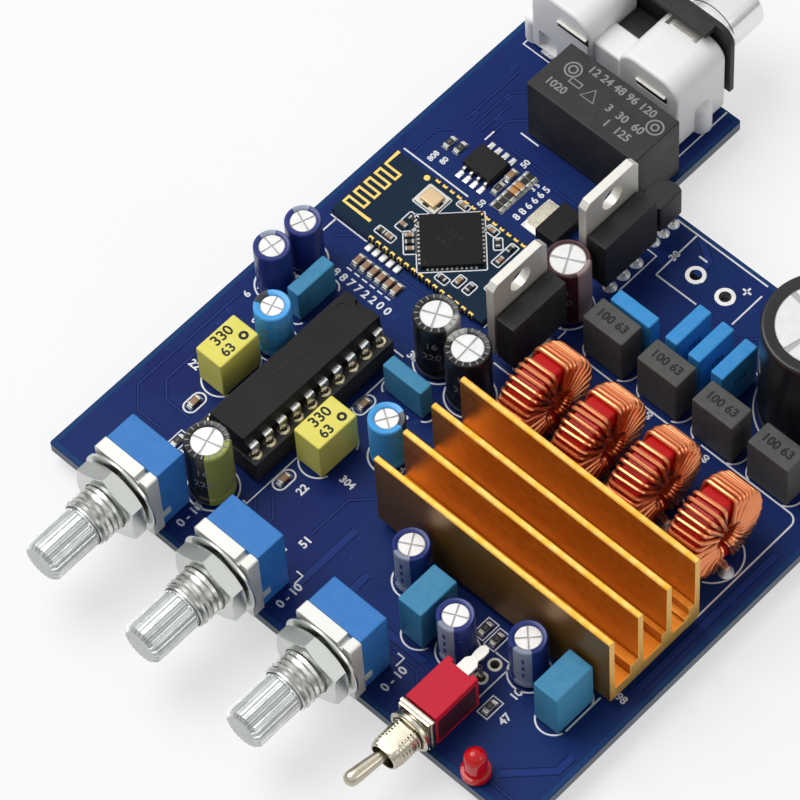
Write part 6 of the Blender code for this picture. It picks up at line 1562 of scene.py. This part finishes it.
def wireless_module():
    """Teal card with its meander antenna, turned chip, crystal and small parts."""
    x0, y0, x1, y1 = MODULE
    top = 1.1
    work = Work()
    work.put(box((x0, y0, 0.3), (x1, y1, top), 0.05, 1), CARD_GREEN)
    edge = [(9.5 + 1.275 * i, y0, 0.28, 0.0) for i in range(15)]
    edge += [(9.9 + 1.275 * i, y1, 0.28, 180.0) for i in range(14)]
    pad = slab((0, 0.16, 0), (0.78, 0.46, 0.87), 0.05, 1)
    repeated(work, pad, edge, PAD_GOLD)
    notch = lathe([(0.0, 0.88), (0.18, 0.88), (0.18, 0.0), (0.0, 0.0)], 10)
    repeated(work, notch, [(x, y + (0.08 if turn else -0.08), z) for x, y, z, turn in edge],
             CHIP_GREY)
    blobs = [(9.96 + 1.275 * i, 49.30, 0.0) for i in range(5)]
    repeated(work, slab((0, 0, 0), (0.92, 1.30, 0.44), 0.20, 3), blobs, BEAD)
    z = top + 0.01
    meander = [(2.75, 62.7), (2.75, 60.05)]
    for i in range(4):
        y = 60.05 - 2.0 * i
        meander += [(5.45, y), (5.45, y - 1.0), (2.75, y - 1.0), (2.75, y - 2.0)]
    stripped(work, [raised(meander + [(7.6, 52.05)], z)], PAD_GOLD, 0.50, 0.03)
    work.put(spot(0.42, 0.46, 0.05, 20), PAD_GOLD, matrix=shift(8.42, 62.05, top))
    cx, cy = 17.8, 56.7
    chip = box((-4.1, -4.1, 0.0), (4.1, 4.1, 0.8), 0.10, 2)
    work.put(chip, CHIP_GREY, matrix=shift(cx, cy, top) @ spin(45))
    work.put(spot(0.3, 0.34, 0.02), CHIP_BLACK, matrix=shift(cx, 51.9, top + 0.79))
    numeral(work, "1 2 3 4", (17.4, 57.5, top + 0.8), 1.1, PRINT_FAINT, 0, 0.01)
    numeral(work, "5 6 7", (17.4, 55.7, top + 0.8), 1.1, PRINT_FAINT, 0, 0.01)
    legs = []
    for side in range(4):
        for i in range(11):
            leg = spin(45 + 90 * side) @ Vector((-3.2 + 0.64 * i, 4.22, 0.0))
            legs.append((cx + leg.x, cy + leg.y, top + 0.02, 45 + 90 * side))
    repeated(work, slab((0, 0, 0), (0.36, 0.42, 0.16), 0.03, 1), legs, DULL_TIN)
    work.put(box((9.55, 58.25, top), (13.25, 61.50, top + 0.30), 0.05, 1), LID_RIM)
    work.put(box((10.05, 58.75, top), (12.75, 61.05, top + 0.85), 0.20, 3), LID)
    # Two small black blocks at the lid's edges: painted shadow under the lid's rim.
    work.put(box((10.9, 58.45, top), (11.9, 58.8, top + 0.34), 0.03, 1), CHIP_BLACK)
    work.put(box((12.7, 59.4, top), (13.05, 60.4, top + 0.34), 0.03, 1), CHIP_BLACK)
    small = [(11.25, 54.5, 90), (11.7, 55.9, 90), (13.05, 53.75, -45), (13.8, 53.0, -45),
             (14.55, 52.25, -45), (9.8, 51.85, 90), (11.2, 51.85, 90), (20.9, 51.7, 90),
             (22.8, 52.9, 0), (24.6, 53.0, 0), (20.6, 61.6, 90), (22.6, 60.6, 45),
             (24.6, 58.8, 0), (24.4, 61.0, 0), (15.1, 62.0, 90), (26.6, 55.2, 0), (26.6, 58.2, 0)]
    body = slab((0, 0, 0), (0.62, 0.70, 0.42), 0.05, 1)
    repeated(work, body, [(x, y, top + 0.03, turn) for x, y, turn in small[::2]], TAN)
    body = slab((0, 0, 0), (0.62, 0.70, 0.36), 0.05, 1)
    repeated(work, body, [(x, y, top + 0.03, turn) for x, y, turn in small[1::2]], RESISTOR)
    tips = []
    for x, y, turn in small:
        for way in (-1, 1):
            end = spin(turn) @ Vector((0.0, 0.46 * way, 0.0))
            tips.append((x + end.x, y + end.y, top + 0.01, turn))
    repeated(work, slab((0, 0, 0), (0.66, 0.32, 0.42), 0.05, 1), tips, DULL_TIN)
    frames = [(11.6, 55.15, 1.10, 1.60, 0), (10.5, 51.85, 1.55, 0.62, 0),
              (13.8, 53.0, 0.85, 1.85, 45), (20.9, 51.7, 0.95, 0.60, 0),
              (22.8, 52.9, 0.62, 0.95, 0), (24.6, 53.0, 0.62, 0.95, 0),
              (20.6, 61.6, 0.95, 0.60, 0), (22.6, 60.6, 0.62, 0.95, 45),
              (24.5, 59.9, 0.66, 2.05, 0), (15.1, 62.0, 0.95, 0.50, 0),
              (26.6, 56.7, 0.66, 2.45, 0), (11.4, 59.88, 1.98, 1.76, 0),
              (cx, cy, 4.62, 4.62, 45)]
    outlines = []
    for x, y, w, d, turn in frames:
        corners = [spin(turn) @ Vector((p[0], p[1], 0.0)) for p in rounded(-w, -d, w, d, 0.2, 2)]
        outlines.append(raised([(x + c.x, y + c.y) for c in corners + corners[:1]], z))
    stripped(work, outlines, SILK, 0.18, 0.02)
    rails = [raised([(x0 + 0.1, y0 - 0.25), (9.0, y0 - 0.25)], 0.030),
             raised([(x1 + 0.3, y0 + 0.2), (x1 + 0.3, y1 - 0.2)], 0.030)]
    stripped(work, rails, SILK, 0.22, 0.02)
    work.settle("wireless_card", "module_green", "wireless_module")


# Tone-control chip and its socket

def tone_control_chip():
    """Turned-pin socket and the long chip pressed into it."""
    xs = SOCKET_ROWS
    ys = [SOCKET_FIRST + PIN_PITCH * i for i in range(SOCKET_PINS)]
    middle = (ys[0] + ys[-1]) / 2
    centre = (xs[0] + xs[1]) / 2
    work = Work()
    low, high = ys[0] - 1.3, ys[-1] + 1.3
    for x in xs:
        work.put(box((x - 1.25, low, 0.3), (x + 1.25, high, 4.3), 0.15, 2), BLACK)
    for y in (low + 1.1, middle, high - 1.1):
        work.put(box((16.4, y - 1.0, 0.35), (22.1, y + 1.0, 4.2), 0.12, 2), BLACK)
    cup = lathe([(0.48, 4.42), (0.78, 4.42), (0.88, 4.30), (0.88, 4.0), (0.30, 4.0),
                 (0.30, 4.16)], 16, ring=True)
    repeated(work, cup, [(x, y, 0.0) for x in xs for y in ys], BRASS)
    pin = lathe([(0.0, 0.5), (0.62, 0.5), (0.62, 0.28), (0.3, 0.18), (0.25, -0.2), (0.0, -0.2)],
                12)
    repeated(work, pin, [(x, y, 0.0) for x in xs for y in ys], BRASS)
    work.settle("turned_pin_socket", "black", "chip_socket")

    work = Work()
    half, length = 3.20, 12.5
    base, top, seam = 5.0, 8.3, 6.35
    section = [(-half + 0.25, base), (half - 0.25, base), (half, seam - 0.05), (half, seam + 0.05),
               (half - 0.22, top), (-half + 0.22, top), (-half, seam + 0.05), (-half, seam - 0.05)]
    end = shift(centre, middle + length)
    body = moved(plate(section, 2 * length, 0.07, 2), end @ TO_FRONT)
    notch = moved(post(1.0, top + 1.0, top - 0.45, 28), end)
    dot = moved(post(0.55, top + 1.0, top - 0.12, 24), end @ shift(-1.65, -2.2))
    work.put(carved(body, [notch, dot]), CHIP_BLACK)
    for digits, x, size in (("2 0 4 0 6 0", 18.5, 1.4), ("1 3 5 7", 20.2, 1.3)):
        numeral(work, digits, (x, middle, top), size, PRINT_FAINT, 90, 0.01)
    leg = [(-0.75, 0.13), (0.36, 0.13), (0.56, 0.03), (0.62, -0.18), (0.62, -1.35), (0.40, -1.50),
           (0.40, -0.18), (0.32, -0.12), (-0.75, -0.12)]
    wide = moved(plate(leg, 1.40, 0.05, 1), shift(y=0.70) @ TO_FRONT)
    narrow = slab((0.51, 0.0, -2.20), (0.24, 0.5, 1.1), 0.04, 1)
    places = [(centre + 3.31, y, seam, 0) for y in ys]
    places += [(centre - 3.31, y, seam, 180) for y in ys]
    repeated(work, wide, places, TIN)
    repeated(work, narrow, places, TIN)
    work.settle("twenty_leg_chip", "black", "tone_chip")


# Heatsink

def finned_heatsink():
    """Extruded bar with four fins and stepped ledges, sawn ends, and its two screws."""
    left, front, level = 39.9, 19.7, 1.6
    length, height, fin, pitch = 39.6, 14.2, 0.9, 5.22
    points = [(0.15, 0.0), (pitch * 3 + fin - 0.5, 0.0), (pitch * 3 + fin, 0.5)]
    ledges = {3: 1.1, 2: 0.9, 1: 1.5}
    for i in reversed(range(4)):
        y = pitch * i
        points += [(y + fin, height - 0.16), (y + fin - 0.16, height), (y + 0.16, height),
                   (y, height - 0.16)]
        if i:
            ledge = 4.1
            step = y - ledges[i]
            points += [(y, ledge + 0.12), (y - 0.12, ledge), (step + 0.1, ledge),
                       (step, ledge - 0.1), (step, 2.75)]
            if i == 3:
                points += [(step - 0.9, 2.75), (step - 0.9, 2.3)]
            points += [(step - 0.1, 2.2), (pitch * (i - 1) + fin + 0.25, 2.2),
                       (pitch * (i - 1) + fin, 2.45)]
    bar = plate(points + [(0.0, 0.15)], length)
    bmesh.ops.remove_doubles(bar, verts=bar.verts, dist=1e-4)
    sawn = [edge for edge in bar.edges
            if len(edge.link_faces) == 2 and edge.calc_face_angle(0.0) > math.radians(80)
            and any(abs(face.normal.z) > 0.9 for face in edge.link_faces)]
    bmesh.ops.bevel(bar, geom=sawn, offset=0.06, segments=1, affect="EDGES", clamp_overlap=True)
    bmesh.ops.recalc_face_normals(bar, faces=bar.faces)
    # Fin tops take the painted lit copy of the gold, the front face the painted shade copy.
    for face in bar.faces:
        middle = face.calc_center_median()
        if abs(face.normal.z) > 0.6:
            face.material_index = 2
        elif face.normal.y > 0.6 and middle.y > height - 0.4:
            face.material_index = 1
        elif face.normal.x < -0.6 and middle.x < 0.2:
            face.material_index = 3
    work = Work()
    work.put(bar, GOLD, GOLD_PAINTED_LIT_TOP, GOLD_SAWN, GOLD_SHADE, matrix=shift(left, front, level) @ TO_RIGHT)
    for x, y in SCREWS:
        head = lathe([(0.0, -3.35), (0.9, -3.3), (2.0, -3.05), (2.6, -2.5), (2.7, -2.1),
                      (2.7, -1.65), (0.0, -1.65)], 32)
        slot = [box((-1.6, -0.28, -4.0), (1.6, 0.28, -2.75)),
                box((-0.28, -1.6, -4.0), (0.28, 1.6, -2.75))]
        work.put(carved(head, slot), STEEL, matrix=shift(x, y, 0.25))
        work.put(post(1.5, 2.6, -1.7, 20), STEEL, matrix=shift(x, y))
    work.settle("finned_heatsink", "gold_anodised", "heatsink")


# Output coils

def wound(work, x, seed, turns, start, end, jitter, **shape):
    """Adds turns of wire round a coil's core between two angles in degrees."""
    values = {"Turns": turns, "First Angle": math.radians(start), "Last Angle": math.radians(end),
              "Jitter": jitter, "Seed": seed, "Finish": COPPER}
    values.update({key.replace("_", " ").title(): value for key, value in shape.items()})
    work.take(grown(WINDING, places_mesh([(x, COIL_Y, COIL_AXIS)]), values), [COPPER])


def output_coils():
    """Four upright ring cores, each wound in two groups, every second turn deeper inside."""
    for i, x in enumerate(COILS):
        prefix = "coil_" + str(i + 1)
        work = Work()
        ring = lathe([(3.2, 1.65), (3.45, 1.98), (3.8, 2.05), (5.7, 2.05), (6.0, 1.95),
                      (6.2, 1.65), (6.2, -1.65), (6.0, -1.95), (5.7, -2.05), (3.8, -2.05),
                      (3.45, -1.98), (3.2, -1.65)], 64, ring=True)
        work.put(ring, CORE_RED, matrix=shift(x, COIL_Y, COIL_AXIS) @ TO_RIGHT)
        work.settle(prefix + "_ring_core", "core_red", prefix + "_core")

        work = Work()
        nudge = (0, 3, -2, 4)[i]
        for first, turns, start, end, slip in ((0, 12, -78, 72 + nudge, 0.006),
                                               (20, 9, 92 + nudge, 246, 0.016)):
            pitch = (end - start) / (2 * turns - 1)
            wound(work, x, first + i, turns, start, end - pitch, slip)
            wound(work, x, first + i + 9, turns, start + pitch, end, slip,
                  inner_radius=2.2, inner_width=5.5)
        for step, (dx, dy) in enumerate(COIL_LEADS):
            way = 1.0 if step == 0 else -1.0
            for twin in (-0.32, 0.32):
                wired(work, [[(x + way * 2.3, COIL_Y + dy * 3.0 + twin, 4.6),
                              (x + way * 2.9, COIL_Y + dy * 2.0 + twin, 3.0),
                              (x + dx, COIL_Y + dy + twin * 0.6, 1.4),
                              (x + dx, COIL_Y + dy + twin * 0.6, -0.4)]], COPPER, 0.30, 8, 0.8)
        work.settle(prefix + "_copper_winding", "copper", prefix + "_winding")
        work = Work()
        for dx, dy in COIL_LEADS:
            work.put(lathe([(0.0, 1.1), (0.5, 1.05), (0.68, 0.5), (1.0, 0.1), (1.08, 0.0),
                            (0.0, 0.0)], 16), BEAD, matrix=shift(x + dx, COIL_Y + dy, 0.02))
        work.settle(prefix + "_solder", "plated_steel")


# Scene

def seen_directly(tree):
    """One for camera, glossy and transmission rays, nought for the rest."""
    ray = node(tree, "ShaderNodeLightPath").outputs
    either = math_node(tree, "MAXIMUM", ray["Is Camera Ray"], ray["Is Glossy Ray"])
    return math_node(tree, "MAXIMUM", either, ray["Is Transmission Ray"])


def lights():
    """One large soft lamp from the upper left, a weak one opposite, and a pale room."""
    def area(name, place, size, power):
        lamp = bpy.data.lights.new(name, "AREA")
        lamp.shape = "DISK"
        lamp.size = size
        lamp.energy = power
        obj = linked(name, lamp)
        obj.location = place
        obj.rotation_mode = "QUATERNION"
        obj.rotation_quaternion = (-Vector(place)).to_track_quat("-Z", "Y")

    area("key_light", (-0.45, -0.12, 0.85), size=0.80, power=7.6)
    area("side_light", (0.80, 0.25, 0.45), size=0.45, power=0.8)
    world = bpy.data.worlds.new("soft_room")
    world.use_nodes = True
    tree = world.node_tree
    dim = tree.nodes["Background"]
    dim.inputs["Color"].default_value = (0.96, 0.98, 1.0, 1.0)
    dim.inputs["Strength"].default_value = 0.31
    way = node(tree, "ShaderNodeTexCoord").outputs["Generated"]
    height = node(tree, "ShaderNodeSeparateXYZ", {0: way}).outputs[2]
    backdrop = node(tree, "ShaderNodeBackground",
                    {"Color": (1.0, 1.0, 1.0, 1.0), "Strength": span(tree, height, 0.0, 0.7, 0.4)})
    both = node(tree, "ShaderNodeMixShader", {0: seen_directly(tree), 1: dim.outputs[0],
                                              2: backdrop.outputs[0]})
    tree.links.new(both.outputs[0], tree.nodes["World Output"].inputs["Surface"])
    bpy.context.scene.world = world


def floor():
    """Plain white table top just under the lowest solder joint, with a light shadow."""
    made = bpy.data.materials.new("table_white")
    made.use_nodes = True
    tree = made.node_tree
    shader = tree.nodes["Principled BSDF"]
    shader.inputs["Base Color"].default_value = (0.93, 0.93, 0.93, 1.0)
    shader.inputs["Roughness"].default_value = 0.9
    shader.inputs["Specular IOR Level"].default_value = 0.0
    white = node(tree, "ShaderNodeEmission", {"Color": (1.0, 1.0, 1.0, 1.0), "Strength": 1.0})
    share = math_node(tree, "MULTIPLY", seen_directly(tree), 0.60)
    both = node(tree, "ShaderNodeMixShader", {0: share, 1: shader.outputs[0],
                                              2: white.outputs[0]})
    tree.links.new(both.outputs[0], tree.nodes["Material Output"].inputs["Surface"])
    level = CAD_LOW.z - 0.0004
    mesh = bpy.data.meshes.new("table_top")
    half = 6.0
    mesh.from_pydata([(-half, -half, level), (half, -half, level), (half, half, level),
                      (-half, half, level)], [], [(0, 1, 2, 3)])
    mesh.materials.append(made)
    linked("table_top", mesh)


# Worked out from the board's edges in the photo: axes, place in metres, lens in millimetres
CAMERA_RIGHT = (0.7250, 0.6876, -0.0407)
CAMERA_UP = (-0.5674, 0.6297, 0.5306)
CAMERA_BACK = (0.3905, -0.3616, 0.8466)
CAMERA_PLACE = (0.23784, -0.23671, 0.54358)
LENS_LENGTH = 223.51


def camera():
    """Stands where the photo was taken from."""
    lens = bpy.data.cameras.new("photo_camera")
    lens.sensor_width = 36.0
    lens.lens = LENS_LENGTH
    lens.clip_start = 0.05
    lens.clip_end = 20.0
    obj = linked("photo_camera", lens)
    turn = Matrix((CAMERA_RIGHT, CAMERA_UP, CAMERA_BACK)).transposed().to_quaternion()
    obj.rotation_mode = "QUATERNION"
    obj.rotation_quaternion = turn.normalized()
    obj.location = CAMERA_PLACE
    bpy.context.scene.camera = obj


def dress_kept_parts():
    """The amplifier chip keeps its own shape and takes the chip finish."""
    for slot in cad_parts["amplifier_chip"].material_slots:
        slot.material = CHIP_BLACK


camera()
lights()
floor()
board_card()
copper_traces()
silk_screen()
under_joints()
film_capacitors()
for title, (tone, x, y, size, turn) in CANS.items():
    electrolytic(title, tone, x, y, size, turn)
for side, x in CONTROLS.items():
    control(side, x)
lever_switch()
indicator()
relay_case()
line_input()
for place, (x, y) in REGULATORS.items():
    standing_regulator(place, x, y)
three_leg_transistor()
chip_parts()
small_chip()
flat_regulator()
wireless_module()
tone_control_chip()
finned_heatsink()
output_coils()
dress_kept_parts()

bpy.context.scene.view_settings.view_transform = "Standard"
